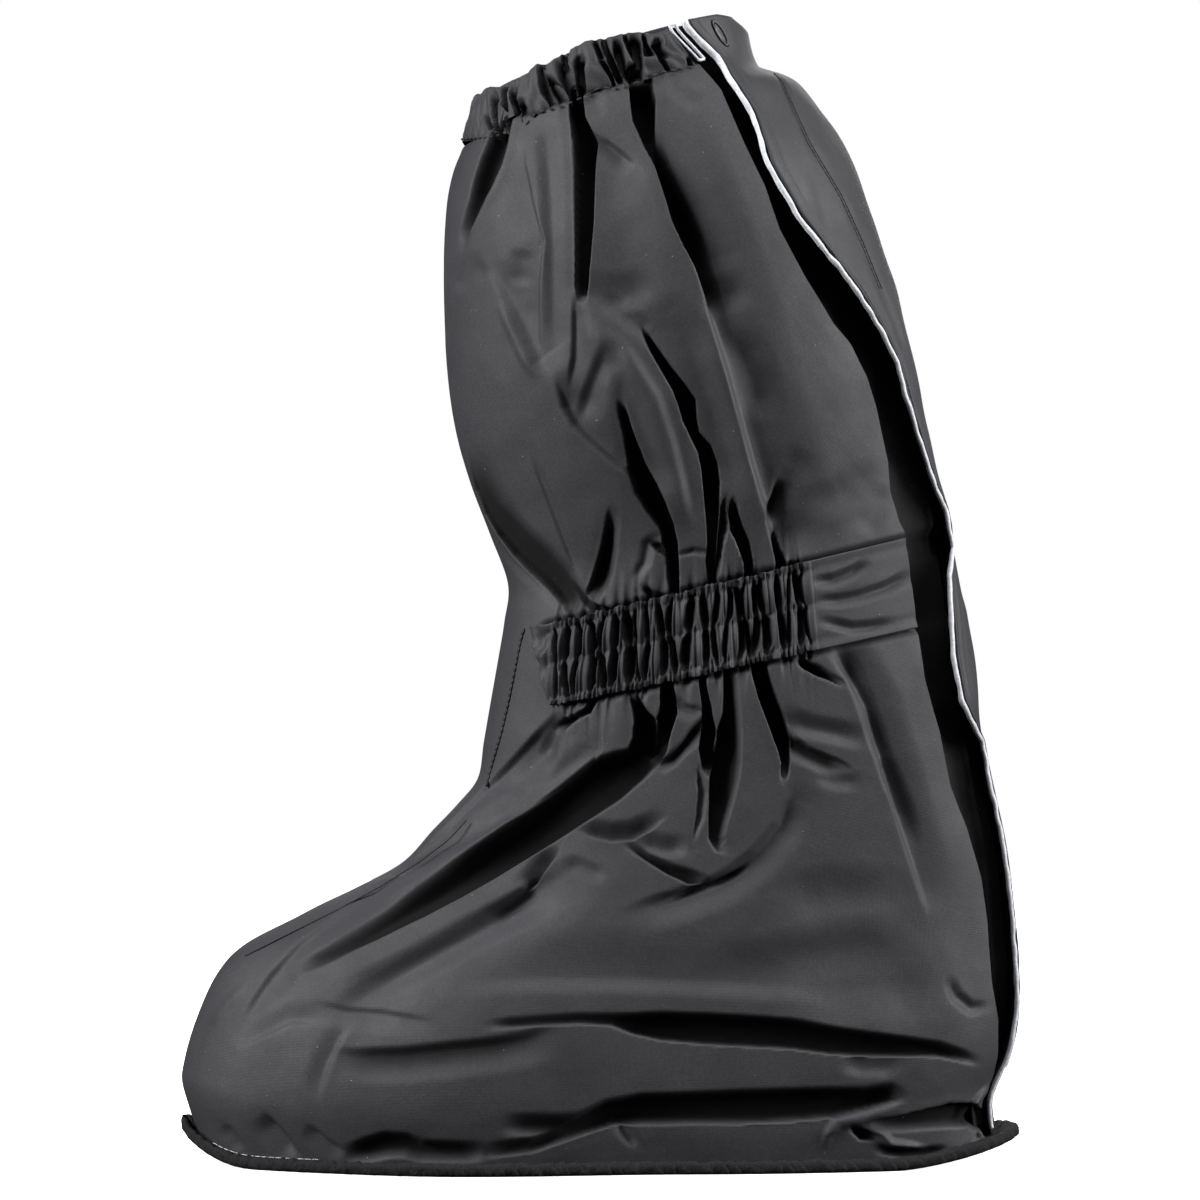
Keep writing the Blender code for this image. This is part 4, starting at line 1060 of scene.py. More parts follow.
def shell_place(low, high, edges, side):
    creases, ridges = (NEAR_CREASES, NEAR_RIDGES) if side > 0 else (FAR_CREASES, FAR_RIDGES)
    pleats, seed = (BAND_PLEATS, 4) if side > 0 else (FAR_PLEATS, 9)

    def place(along, up):
        level, turn = spread(along, up, low, high, edges)
        bare = form_points(level, turn)
        normal = form_normals(level, turn)
        chart = side_chart(bare)
        sink, lean, deep = crease_relief(chart, creases)
        fade = smoothstep(0.0, 0.022, np.abs(turn)) * smoothstep(0.0, 0.12, level)
        facing = np.abs(normal[:, 1:2])
        inward = np.array((0.0, float(side), 0.0)) * (1 - facing) - normal * facing
        rough = 0.34 * waves(bare, 0.045, 3) + 0.13 * waves(bare, 0.020, 5) + 0.03 * waves(bare, 0.009, 7)
        folds = sink + ridge_relief(chart, ridges)
        sunk = drawn_in(level, turn) + rough * fade + edge_flutes(level, turn, pleats, seed)
        points = bare - normal * (sunk / 1000)[:, None] + inward * (folds * fade / 1000)[:, None]
        points[:, [0, 2]] += lean * (fade / 1000)[:, None]
        points[:, 2] -= corner_drop(bare, level)
        # The shell's pleats carry painted shade as deep as they lie
        return points, deep * fade

    return place


def near_edges(level):
    return np.zeros_like(level), slit_turns(level)[0]


def far_edges(level):
    return slit_turns(level)[1] + UNDER_FLAP - 1, np.zeros_like(level)


print("creases", len(NEAR_CREASES))

# %% Cut the four parts of the shell
SHELL_PARTS = (
    ("shell_outer_foot", 340, 260, (0.34, 0.23), 0.0, SPLIT_LEVEL, near_edges, 1),
    ("shell_outer_shaft", 250, 300, (0.20, 0.25), SPLIT_LEVEL, COLLAR_LEVEL, near_edges, 1),
    ("shell_inner_foot", 220, 150, (0.34, 0.23), 0.0, SPLIT_LEVEL, far_edges, -1),
    ("shell_inner_shaft", 170, 190, (0.24, 0.25), SPLIT_LEVEL, COLLAR_LEVEL, far_edges, -1),
)
for name, columns, rows, cut, low, high, edges, side in SHELL_PARTS:
    part = sheet_piece(name, columns, rows, cut, shell_place(low, high, edges, side))
    finish_piece(part, SHELL_CLOTH, "coated_cloth", "upper")


# %% [markdown]
# ## The gathered cuff
# The cuff is a casing with elastic inside: the cloth turns over the top edge and down again on the inner
# side. The elastic puckers it into short uneven pleats, which lean forward where the boot faces the
# viewer.

# %% Chart the cuff's pleats
SEWN_GAP = 0.004
CASING_LENGTH = 0.42
PUCKER_STEP = 0.0074
TURN_START = 0.55
INNER_START = 0.72


def pleat(depth, width, *points):
    """A crisp pleat of one width."""
    return Crease(1.9 * depth, 0.8, 0.8, tuple((x, z, width) for x, z in points))


CUFF_PLEATS = (
    pleat(7, 0.9, (-40.5, 412), (-40, 404), (-37, 392)),
    pleat(6, 0.6, (-43, 403), (-40, 391)),
    pleat(5, 0.6, (-38, 409), (-36.5, 401)),
    pleat(7, 1.4, (-36, 415), (-35, 407), (-33, 400), (-31, 393)),
    pleat(6, 0.8, (-32, 415), (-31, 406), (-29, 396)),
    pleat(6, 0.8, (-29, 411), (-25.5, 398)),
    pleat(6, 1.4, (-22.5, 421), (-20.5, 412), (-17, 406), (-14, 402)),
    pleat(4, 0.6, (-19.5, 419), (-13, 407)),
    pleat(4, 0.6, (-16.5, 423), (-10.5, 407)),
    pleat(6, 1.3, (-13.5, 425), (-12, 417), (-8.5, 405)),
    pleat(6, 1.2, (-7, 423), (-5.5, 408)),
    pleat(3, 0.5, (-2, 428), (0, 424)),
    pleat(4, 0.6, (0, 423), (4, 417), (8.5, 409)),
    pleat(4, 0.6, (1, 431), (4, 424), (8, 416)),
    pleat(4, 0.7, (6, 431), (8, 424), (12, 412)),
    pleat(4, 0.6, (9.5, 432), (13, 424)),
    pleat(7, 1.5, (12, 422), (13.5, 418), (15, 413)),
    pleat(6, 1.2, (13, 432), (15, 425), (17.5, 412)),
    pleat(4, 0.6, (17, 433), (18.5, 428)),
    pleat(6, 1.2, (21.5, 433), (23, 425), (26, 420), (29.5, 417)),
    pleat(3, 0.5, (23, 433), (26, 427)),
    pleat(2, 0.4, (33, 426), (35, 420)),
    pleat(2, 0.4, (39, 428), (38, 421)),
)


# %% Shape the casing
# Place along the view and height of the casing's seam and of its top edge, in millimetres
CUFF_BASE = (
    (-52, -42, -30, -25, -14, -6, 0, 8, 18, 24, 30, 36, 42),
    (391, 392, 395, 401, 404, 407.5, 411, 410.5, 414.5, 417, 418, 419, 420.5),
)
CUFF_TOP = (
    (-52, -48, -44, -38, -36, -28, -25, -20, -17, -13, -6, 0, 5, 12, 17, 20, 28, 33, 40),
    (399, 405, 410.5, 411, 413, 416.5, 419.5, 420, 422, 424, 428, 429, 430, 432, 432, 431, 433.5, 433, 434),
)


def cuff_place(along, up):
    """The first share of the cloth's width is the outer side, then it turns over and goes down inside."""
    outer = np.clip(up / TURN_START, 0.0, 1.0)
    over = np.clip((up - TURN_START) / (INNER_START - TURN_START), 0.0, 1.0)
    inner = np.clip((up - INNER_START) / (1 - INNER_START), 0.0, 1.0)
    shares = np.linspace(0.0, 1.0, 600)
    high = np.full(600, CUFF_LEVEL + 0.5)
    start, end = slit_turns(high)[2] - 1 + SEWN_GAP, slit_turns(high)[0]
    share = np.interp(along, walked_shares(form_points(high, start + (end - start) * shares)), shares)
    level = CUFF_LEVEL + (outer - inner * 0.8) * (COLLAR_LEVEL - CUFF_LEVEL)
    start, end = slit_turns(level)[2] - 1 + SEWN_GAP, slit_turns(level)[0]
    turn = start + (end - start) * share
    bare = form_points(level, turn)
    normal = form_normals(level, turn)
    chart = side_chart(bare)
    sink, lean, deep = crease_relief(chart, CUFF_PLEATS)
    near = smoothstep(0.0, 0.012, turn)
    walked = share * CASING_LENGTH
    slant = walked + 0.003 * np.sin(outer * 2.6)
    uneven = slant + 0.0022 * np.sin(slant * 410) + 0.0014 * np.sin(slant * 977 + 1)
    puckers = np.abs(np.sin(np.pi * uneven / PUCKER_STEP)) ** 0.8
    far_sink = 3.4 * (1 - puckers) ** 2 * np.sin(np.pi * np.clip(outer, 0.06, 1.0)) ** 0.3
    silhouette = 0.35 + 0.65 * np.abs(normal[:, 1]) ** 0.5
    plump = np.sin(np.pi * np.clip(outer, 0.0, 0.96)) ** 0.6 * silhouette
    small = 0.35 * waves(np.stack((walked * 4, outer * 0.02, walked * 0), axis=1), 0.012, 8)
    sunk = sink * near + far_sink * (1 - near)
    offset = 0.3 + 2.3 * plump + small - sunk * (1 - over)
    inward = over * 3.6 + 0.4 * inner
    points = bare + normal * ((offset * (1 - inner * 0.9) - inward) / 1000)[:, None]
    points[:, 2] += 0.0016 * np.sin(np.pi * over) + 0.0004 * waves(bare, 0.014, 6) * (outer > 0.8)
    wanted = np.interp(chart[:, 0], *CUFF_BASE) * (1 - outer) + np.interp(chart[:, 0], *CUFF_TOP) * outer
    points[:, 2] += (wanted - chart[:, 1]) / 1000 * near * (1 - inner)
    points[:, [0, 2]] += lean * (near / 1000)[:, None] * (1 - over)[:, None]
    points[:, 2] -= corner_drop(bare, level)
    # The cuff's pleats and puckers carry painted shade
    shade = np.maximum(np.clip(1.6 * deep, 0, 1) * near, np.clip(far_sink / 4, 0, 1) * (1 - near))
    return points, shade * (1 - over)


cuff = sheet_piece("cuff_casing", 620, 40, (0.52, 0.075), cuff_place)
finish_piece(cuff, SHELL_CLOTH, "coated_cloth", "cuff")

# %% [markdown]
# ## The shirred ankle band
# Three rows of elastic thread draw a strip of cloth together over the ankle. Between the rows the strip
# puffs up into two channels of small pleats, and past the outer rows it ends in a ruffle. The elastic
# stops before the slit, and there the strip lies flat.

# %% Shape the two bands
def hump(value, low, high):
    """0 at low and at high, and 1 half way between them."""
    return np.sin(np.pi * np.clip((value - low) / (high - low), 0, 1))


def band_place(front, rear_edges, side):
    def place(along, up):
        shares = np.linspace(0.0, 1.0, 600)
        level = BAND_LOW_LEVEL + (BAND_HIGH_LEVEL - BAND_LOW_LEVEL) * up
        middle = np.full(600, (BAND_LOW_LEVEL + BAND_HIGH_LEVEL) / 2)
        rear = rear_edges(middle[:1])[0]
        first, last = sorted((front, rear))
        path = form_points(middle, first + (last - first) * shares)
        turn = first + (last - first) * np.interp(along, walked_shares(path), shares)
        turn = turn + side * FRONT_SLANT * (1 - up) * (1 - smoothstep(0.0, 0.12, np.abs(turn - front)))
        bare = form_points(level, turn)
        normal = form_normals(level, turn)
        chart = side_chart(bare)
        in_view = side_chart(form_points(np.full_like(turn, middle[0]), turn))[:, 0]
        if side > 0:
            depth, pinch = shirring(in_view, up, BAND_PLEATS, 4)
            flat = smoothstep(79.0, 84.0, in_view)
            start = smoothstep(-21.5, -18.0, in_view)
            creases = BAND_CREASES
        else:
            depth, pinch = shirring(in_view, up, FAR_PLEATS, 9)
            flat = smoothstep(92.0, 98.0, in_view)
            start = np.ones_like(flat)
            creases = far_side(BAND_CREASES)
        sink = crease_relief(chart, creases)[0]
        ends = start * smoothstep(0.0, 0.015, 1 - along)
        edge = np.minimum(up, 1 - up)
        loops = np.abs(np.sin(in_view * 1.15 + 1.9 * np.sin(in_view * 0.43))) ** 0.7
        ruffle = 1 - smoothstep(0.05, 0.11, edge)
        low_row, middle_row, top_row = BAND_STITCH_ROWS
        channel = hump(up, low_row, middle_row) + hump(up, middle_row, top_row)
        fine = 0.5 * np.sin(in_view * 3.1 + 2.2 * np.sin(in_view * 0.9) + 3 * up)
        puffed = 1.3 * channel * (1 - depth) - 5.0 * depth * (1 - ruffle)
        gathered = 0.3 + puffed + ruffle * (1.9 * loops - 1.1) + fine
        crumple = 1.5 * waves(bare, 0.010, 17) + 0.9 * waves(bare, 0.005, 18)
        smooth = 0.6 - 0.4 * pinch - sink + crumple * (1 - start) * 0.8
        offset = 0.4 + gathered * (1 - flat) * ends + smooth * np.maximum(flat, 1 - ends)
        points = bare + normal * (offset / 1000)[:, None]
        sway = np.where(up > 0.5, 1.0, -1.0) * ruffle * (0.5 * waves(bare, 0.006, 19) + 0.7 * loops - 0.6)
        points[:, 2] += sway * (1 - flat) / 1000
        # The band's pleats carry painted shade
        return points, np.clip(depth * (1 - flat) * ends, 0, 1)

    return place


def outer_rear(level):
    return slit_turns(level)[0] - BAND_END_GAP


def inner_rear(level):
    return slit_turns(level)[2] - 1 + BAND_END_GAP


BAND_CLOTH = 0.0006
outer_place = band_place(BAND_FRONT_TURN, outer_rear, 1)
outer_band = sheet_piece("ankle_band_outer_shirred", 430, 60, (0.26, 0.03), outer_place, BAND_CLOTH)
finish_piece(outer_band, SHELL_CLOTH, "coated_cloth", "ankle_band_outer")
inner_place = band_place(-BAND_FRONT_TURN, inner_rear, -1)
inner_band = sheet_piece("ankle_band_inner_shirred", 300, 40, (0.24, 0.03), inner_place, BAND_CLOTH)
finish_piece(inner_band, SHELL_CLOTH, "coated_cloth", "ankle_band_inner")


# %% [markdown]
# ## The storm flap and the gusset
# The flap is sewn on beyond the back, wraps round it, and ends in a free edge on the outer side. A row of
# stitches runs behind the piping, and one seam crosses its upper part. The gusset behind the slit lies in
# shade, and its colour is painted shade too.

# %% Lay the flap
FLAP_FIRST_LEVEL = 0.3
FLAP_SEAM = (
    (65, 420), (70, 412), (75, 401), (80, 390), (86, 380), (92, 370),
    (97, 359), (101, 350), (105, 340), (109, 330), (113, 320), (117, 308),
)
FLAP_CREASES = (
    Crease(1.1, 0.8, 0.8, tuple((x, z, 0.5) for x, z in FLAP_SEAM)),
    Crease(1.0, 3.0, 3.0, ((80, 385, 0.6), (87, 365, 1.2), (93, 349, 0.6))),
    Crease(0.9, 2.5, 3.0, ((104, 316, 0.6), (114, 297, 1.2), (120, 281, 0.6))),
    Crease(1.1, 2.0, 3.0, ((119, 262, 0.5), (124, 247, 1.2), (126, 231, 0.5))),
    Crease(1.2, 2.0, 2.0, ((128, 214, 0.4), (126, 203, 1.0), (131, 192, 0.4))),
    Crease(1.0, 3.0, 3.0, ((131, 176, 0.6), (137, 158, 1.3), (142, 141, 0.6))),
    Crease(1.0, 2.0, 2.5, ((146, 96, 0.5), (151, 79, 1.0), (152, 62, 0.5))),
    Crease(1.6, 1.5, 1.5, ((147, 40, 0.4), (152, 34, 1.0), (156, 30, 0.4))),
)


def flap_edges(level):
    turns = slit_turns(level)
    return turns[1], turns[2]


def flap_place(along, up):
    level, turn = spread(along, up, FLAP_FIRST_LEVEL, COLLAR_LEVEL, flap_edges)
    bare = form_points(level, turn)
    normal = form_normals(level, turn)
    sink, _, deep = crease_relief(side_chart(bare), FLAP_CREASES)
    free_edge, sewn_edge = flap_edges(level)
    wide = np.linalg.norm(form_points(level, sewn_edge) - form_points(level, free_edge), axis=1)
    from_edge = along * wide * 1000
    rolled = 0.9 * np.exp(-((from_edge / 2.2) ** 2))
    seams = 0.8 * np.exp(-(((from_edge - 2.6) / 0.6) ** 2)) + 0.2 * np.exp(-(((from_edge - 5.4) / 0.6) ** 2))
    slack = 0.55 * waves(bare, 0.05, 12) + 0.2 * waves(bare, 0.018, 13)
    cinched = 0.8 * smoothstep(12.6, 13.2, level) * (1 - smoothstep(14.2, 14.8, level))
    offset = 1.3 + rolled - seams - sink * (turn < 0.5) + slack * smoothstep(0.0, 3.0, from_edge) - cinched
    points = bare + normal * (np.maximum(offset, 0.5) / 1000)[:, None]
    points[:, 2] -= corner_drop(bare, level)
    # The flap's creases carry painted shade
    return points, deep


flap = sheet_piece("storm_flap_cloth", 64, 420, (0.07, 0.46), flap_place, 0.0007)
finish_piece(flap, SHELL_CLOTH, "coated_cloth", "storm_flap")

# %% Lay the gusset
GUSSET_LAP = 0.014


def gusset_edges(level):
    turns = slit_turns(level)
    return turns[0] - GUSSET_LAP, turns[1] + UNDER_FLAP + GUSSET_LAP


def gusset_place(along, up):
    level, turn = spread(along, up, 0.25, COLLAR_LEVEL - 0.1, gusset_edges)
    bare = form_points(level, turn)
    room = np.minimum(1.0, np.minimum((COLLAR_LEVEL - level) / 3 + 0.25, level / 2 + 0.25))
    drawn = drawn_in(level, np.full_like(turn, 0.2))
    folded = np.sin(np.pi * along)
    sunk = 2.0 + drawn + 9.0 * room * folded**2 + 0.5 * waves(bare, 0.02, 21) * folded
    points = bare - form_normals(level, turn) * (sunk / 1000)[:, None]
    points[:, 2] -= corner_drop(bare, level)
    # The whole gusset carries full painted shade
    return points, np.ones_like(level)


gusset = sheet_piece("gusset_bellows", 24, 220, (0.04, 0.44), gusset_place, 0.0005)
finish_piece(gusset, GUSSET_CLOTH, "gusset_cloth", "rear_gusset")


# %% [markdown]
# ## The reflective piping and its loop
# The piping is a soft cord in a reflective cover. Sewing has left it uneven, so its thickness and its
# line waver a little. It is a grid rolled into a tube. Its tail is a thin loop that hangs in the top of
# the slit.

# %% Roll a grid into a tube
def tube_piece(name, path, outward, radii, around=12, closed=False):
    """A tube along a path of points, whose first seam faces outward."""
    count = len(path)
    steps = count if closed else count - 1
    shape, along, up = flat_grid(around, steps)
    station = np.round(up * steps).astype(int) % count
    if closed:
        tangent = np.roll(path, -1, axis=0) - np.roll(path, 1, axis=0)
    else:
        tangent = np.gradient(path, axis=0)
    tangent /= np.linalg.norm(tangent, axis=1, keepdims=True)
    side = np.cross(tangent, outward)
    side /= np.linalg.norm(side, axis=1, keepdims=True)
    out = np.cross(side, tangent)
    angle = 2 * np.pi * along
    ring = out[station] * np.cos(angle)[:, None] + side[station] * np.sin(angle)[:, None]
    points = path[station] + ring * radii[station][:, None]
    for vert, point in zip(shape.verts, points):
        vert.co = point
    bmesh.ops.remove_doubles(shape, verts=shape.verts, dist=1e-6)
    if not closed:
        bmesh.ops.holes_fill(shape, edges=[edge for edge in shape.edges if edge.is_boundary], sides=around)
    bmesh.ops.recalc_face_normals(shape, faces=shape.faces)
    return new_object(name, shape)


def turn_for(level, distance):
    """The turn that spans a distance in metres along the form near the slit."""
    here = slit_turns(level)[1]
    step = 0.004
    walked = form_points(level, here + step) - form_points(level, here)
    return step * distance / np.linalg.norm(walked, axis=1)


def piping_points(level, ahead, offset):
    turn = slit_turns(level)[1] - turn_for(level, ahead)
    normal = form_normals(level, turn)
    return form_points(level, turn) + normal * np.reshape(offset, (-1, 1)), normal


# %% Lay the piping and the loop
PIPING_RADIUS = 0.0013
levels = np.linspace(FLAP_FIRST_LEVEL, COLLAR_LEVEL, 4000)
bare_line = piping_points(levels, PIPING_RADIUS, np.zeros(4000))[0]
levels = np.interp(np.linspace(0, 1, 900), walked_shares(bare_line), levels)
bare_line = piping_points(levels, PIPING_RADIUS, np.zeros(900))[0]
ahead = PIPING_RADIUS + 0.0003 + 0.00022 * waves(bare_line, 0.012, 31)
proud = 0.0013 + 0.0002 * waves(bare_line, 0.01, 32)
line, facing = piping_points(levels, ahead, proud)
swell = PIPING_RADIUS * (0.74 + 0.10 * waves(bare_line, 0.007, 33) + 0.30 * smoothstep(22.5, 25.5, levels))
piping = tube_piece("piping_cord", line, facing, swell)
finish_piece(piping, REFLEX_CORD, "reflective_trim", "reflective_piping")

LOOP_CORD_RADIUS = 0.0006
LOOP_LENGTH = 0.015
LOOP_WIDTH = 0.0026
loop_top = COLLAR_LEVEL - 0.06
row_height = np.linalg.norm(form_points(COLLAR_LEVEL, 0.35) - form_points(CUFF_LEVEL, 0.35))
circle = np.linspace(0, 2 * np.pi, 64, endpoint=False)
straight = np.clip(np.sin(circle) * 3, -1, 1)
across = 0.5 - 0.5 * np.cos(circle)
down = 0.5 - 0.5 * straight
loop_level = loop_top - down * LOOP_LENGTH / row_height
loop_ahead = 2 * PIPING_RADIUS + 0.0024 + LOOP_WIDTH * across + 0.0012 * down
loop_line, loop_facing = piping_points(loop_level, loop_ahead, np.full(64, 0.0004))
loop = tube_piece("piping_tail_loop", loop_line, loop_facing, np.full(64, LOOP_CORD_RADIUS), 8, closed=True)
finish_piece(loop, REFLEX_CORD, "reflective_trim", "piping_loop")


# %% [markdown]
# ## The sole and its binding
# The sole is a thin rubber sheet. Its edge and the shell's hem are bound together with a rough textile
# strip, whose overlock stitches stand out as small slanted ribs. The binding is a grid closed into a ring
# both ways.

# %% Cut the sole
EDGE_INSET = 0.0014


def sole_place(along, across):
    angle = np.pi * (0.02 + 0.96 * along)
    x = -np.cos(angle) * (SOLE_LENGTH / 2 - EDGE_INSET)
    outer = plan_width(angle) * BALL_WIDTH / 2 - EDGE_INSET
    inner = plan_width(-angle) * BALL_WIDTH / 2 - EDGE_INSET
    y = -outer + (outer + inner) * across
    return np.stack((x, y, sole_lift(x)), axis=1)


sole_shape, along, across = flat_grid(150, 30)
for vert, point in zip(sole_shape.verts, sole_place(along, across)):
    vert.co = point
lifted = bmesh.ops.extrude_face_region(sole_shape, geom=sole_shape.faces[:], use_keep_orig=True)
tops = [item for item in lifted["geom"] if isinstance(item, bmesh.types.BMVert)]
bmesh.ops.translate(sole_shape, verts=tops, vec=(0.0, 0.0, SOLE_THICKNESS))
bmesh.ops.recalc_face_normals(sole_shape, faces=sole_shape.faces)
sole = new_object("rubber_sole", sole_shape)
finish_piece(sole, SOLE_RUBBER, "sole_rubber", "outsole")

# %% Close the binding into a ring
BINDING_THICKNESS = 0.0018
BINDING_LENGTH = 0.78
STITCH_STEP = 0.0021
SCALE_STEP = 0.0068
CORNER_POWER = 3.2


def rim_and_hem(turn):
    """The sole's edge and the shell's hem at turns round the sole."""
    angle = 2 * np.pi * turn
    x = -np.cos(angle) * SOLE_LENGTH / 2
    y = -np.copysign(plan_width(angle) * BALL_WIDTH / 2, np.sin(angle))
    rim = np.stack((x, y), axis=1)
    hem = form_points(np.zeros_like(turn), turn)[:, :2]
    return rim, hem


def binding_place(along, around):
    shares = np.linspace(0.0, 1.0, 4000)
    rim_path = rim_and_hem(shares)[0]
    walked = walked_shares(rim_path)
    turn = np.interp(along, walked, shares)
    rim, hem = rim_and_hem(turn)
    inward = hem - rim
    wide = np.maximum(np.linalg.norm(inward, axis=1), 1e-5)
    way = inward / wide[:, None]
    angle = 2 * np.pi * around
    corners = np.abs(np.cos(angle)) ** CORNER_POWER + np.abs(np.sin(angle)) ** CORNER_POWER
    squared = corners ** (-1 / CORNER_POWER)
    walked_rim = along * BINDING_LENGTH
    stitch = walked_rim / STITCH_STEP + 0.5 * np.sin(angle) + 0.35 * np.sin(along * 611)
    scales = (walked_rim / SCALE_STEP + 0.35 * np.sin(angle) + 0.25 * np.sin(along * 217)) % 1.0
    place = np.stack((walked_rim, 0.004 * np.cos(angle), 0.004 * np.sin(angle)), axis=1)
    rib = 0.28 * np.abs(np.sin(np.pi * stitch)) ** 0.7 + 0.95 * scales - 0.35
    rib += 0.2 * waves(place, 0.003, 41) + 0.25 * waves(place, 0.009, 42)
    half = (wide + 0.0012) / 2
    high = (SOLE_THICKNESS + BINDING_THICKNESS) / 2 + 0.0001
    reach = np.cos(angle) * squared
    rise = np.sin(angle) * squared
    out = half * reach + np.sign(reach) * np.abs(reach) * rib / 1000
    hollow = 2.2 * (1 - smoothstep(-0.75, 0.35, reach)) - 0.7 * smoothstep(0.2, 0.9, reach)
    curled = 1.4 * np.exp(-((np.minimum(turn, 1 - turn) / 0.05) ** 2)) * smoothstep(0.0, 0.9, reach)
    up = high * rise + np.maximum(rise, 0) * (rib - hollow * np.maximum(rise, 0) + curled) / 1000
    middle = rim + way * (half - 0.0006)[:, None]
    flat = middle - way * out[:, None]
    x = np.clip(flat[:, 0], -SOLE_LENGTH / 2, SOLE_LENGTH / 2)
    z = sole_lift(x) + high + up
    return np.stack((flat[:, 0], flat[:, 1], z), axis=1)


ring_shape, along, around = flat_grid(1500, 18)
for vert, point in zip(ring_shape.verts, binding_place(along, around)):
    vert.co = point
bmesh.ops.remove_doubles(ring_shape, verts=ring_shape.verts, dist=2e-6)
bmesh.ops.recalc_face_normals(ring_shape, faces=ring_shape.faces)
ring = new_object("overlocked_binding", ring_shape)
finish_piece(ring, BINDING_YARN, "binding_textile", "sole_binding")


# %% [markdown]
# ## The press stud
# The stud on the flap's top corner is a pressed cap of lacquered metal with a rolled rim, so half of its
# profile is spun round its axis and then turned to face out of the flap.

# %% Spin the stud
STUD_RADIUS = 0.0060
STUD_HEIGHT = 0.0024
stud_level = np.array([CUFF_LEVEL + 0.55])
stud_turn = slit_turns(stud_level)[1] + turn_for(stud_level, 1.9 * STUD_RADIUS)
low_corner, high_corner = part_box("press_stud")
stud_middle = (Vector(low_corner) + Vector(high_corner)) / 2 + Vector((-0.002, 0.0, -0.002))
stud_facing = Vector(form_normals(stud_level, stud_turn)[0])
# Shares of the radius and of the height, from the middle of the cap over its rolled rim
profile = (
    (0.0, 0.78), (0.45, 0.74), (0.62, 0.72), (0.72, 0.90), (0.84, 1.0), (0.95, 0.86), (1.0, 0.5),
    (0.97, 0.1), (0.9, 0.0),
)
stud_shape = bmesh.new()
rim_points = [stud_shape.verts.new((out * STUD_RADIUS, 0.0, (up - 0.5) * STUD_HEIGHT)) for out, up in profile]
rim_edges = [stud_shape.edges.new(pair) for pair in zip(rim_points, rim_points[1:])]
spun = rim_points + rim_edges
bmesh.ops.spin(
    stud_shape, geom=spun, cent=(0, 0, 0), axis=(0, 0, 1), angle=2 * math.pi, steps=48, use_merge=True
)
bmesh.ops.remove_doubles(stud_shape, verts=stud_shape.verts, dist=1e-6)
bmesh.ops.holes_fill(stud_shape, edges=[edge for edge in stud_shape.edges if edge.is_boundary], sides=60)
bmesh.ops.recalc_face_normals(stud_shape, faces=stud_shape.faces)
# The flap's corner is bent, so the cap shows as a slanted oval
oval = Matrix.Rotation(math.radians(-52), 4, "Z") @ Matrix.Diagonal((1.08, 0.36, 1.0, 1.0))
bmesh.ops.transform(stud_shape, matrix=oval, verts=stud_shape.verts)
facing_turn = stud_facing.to_track_quat("Z", "Y").to_matrix().to_4x4()
bmesh.ops.transform(stud_shape, matrix=Matrix.Translation(stud_middle) @ facing_turn, verts=stud_shape.verts)
stud = new_object("stud_cap", stud_shape)
finish_piece(stud, STUD_LACQUER, "stud_metal", "press_stud")

# %% [markdown]
# ## The stitches
# The thread shows as short black stitches in rows: behind the piping, on the flap's seam, under the cuff
# and down the front seam. A stitch is a small flattened ball with few faces, because there are hundreds
# of them. At the toe one light thread lies on the binding.

# %% Sew rows of stitches
def sew(shape, points, normals, length, gap, thick):
    """Stitches along a path of points on the cloth, set into its surface."""
    steps = np.linalg.norm(np.diff(points, axis=0), axis=1)
    walked = np.concatenate(([0.0], np.cumsum(steps)))
    starts = np.arange(0.001, walked[-1] - length, length + gap)

    def value_at(place, values):
        return Vector([np.interp(place, walked, values[:, axis]) for axis in range(3)])

    for start in starts:
        first = value_at(start, points)
        last = value_at(start + length, points)
        out = value_at(start + length / 2, normals).normalized()
        way = (last - first).normalized()
        side = out.cross(way).normalized()
        frame_turn = Matrix((way, side, way.cross(side))).transposed().to_4x4()
        size = Matrix.Diagonal((length / 2, thick, thick * 0.8, 1.0))
        place = Matrix.Translation((first + last) / 2) @ frame_turn @ size
        bmesh.ops.create_uvsphere(shape, u_segments=6, v_segments=4, radius=1.0, matrix=place)
    return len(starts)


def row_on_form(levels, turns, height):
    """Points of a row at a height above the form, and their outward directions."""
    normals = form_normals(levels, turns)
    return form_points(levels, turns) + normals * height, normals


def row_on_side(line, count, levels, turns):
    """Points and outward directions along a charted line, on the near side between given levels and turns."""
    level, turn = (grid.ravel() for grid in np.meshgrid(np.linspace(*levels, 500), np.linspace(*turns, 300)))
    chart = side_chart(form_points(level, turn))
    tree = kdtree.KDTree(len(chart))
    for index, (x, z) in enumerate(chart):
        tree.insert((x, z, 0.0), index)
    tree.balance()
    line = np.array(line, float)
    wanted = np.linspace(0.0, 1.0, count)
    shares = walked_shares(line)
    places = zip(*(np.interp(wanted, shares, line[:, axis]) for axis in (0, 1)))
    near = [tree.find((x, z, 0.0))[1] for x, z in places]
    window = np.hanning(15) / np.hanning(15).sum()
    level, turn = (np.convolve(np.pad(values[near], 7, "edge"), window, "valid") for values in (level, turn))
    return row_on_form(level, turn, 0.0004)


# %% Sew the rows on the flap
stitches = bmesh.new()
levels = np.linspace(FLAP_FIRST_LEVEL + 0.3, COLLAR_LEVEL - 0.15, 1500)
turns = slit_turns(levels)[1] + turn_for(levels, 0.0026)
row_points, row_normals = row_on_form(levels, turns, 0.0010)
row_points[:, 2] -= corner_drop(row_points, levels)
count = sew(stitches, row_points, row_normals, 0.0026, -0.0003, 0.00036)
levels = np.linspace(19.6, 24.4, 600)
turns = turns_on_line(tuple(reversed(FLAP_SEAM)), levels, 0.0)
row_points, row_normals = row_on_form(levels, turns, 0.0013)
row_points[:, 2] -= corner_drop(row_points, levels)
count += sew(stitches, row_points, row_normals, 0.0030, -0.0006, 0.00034)

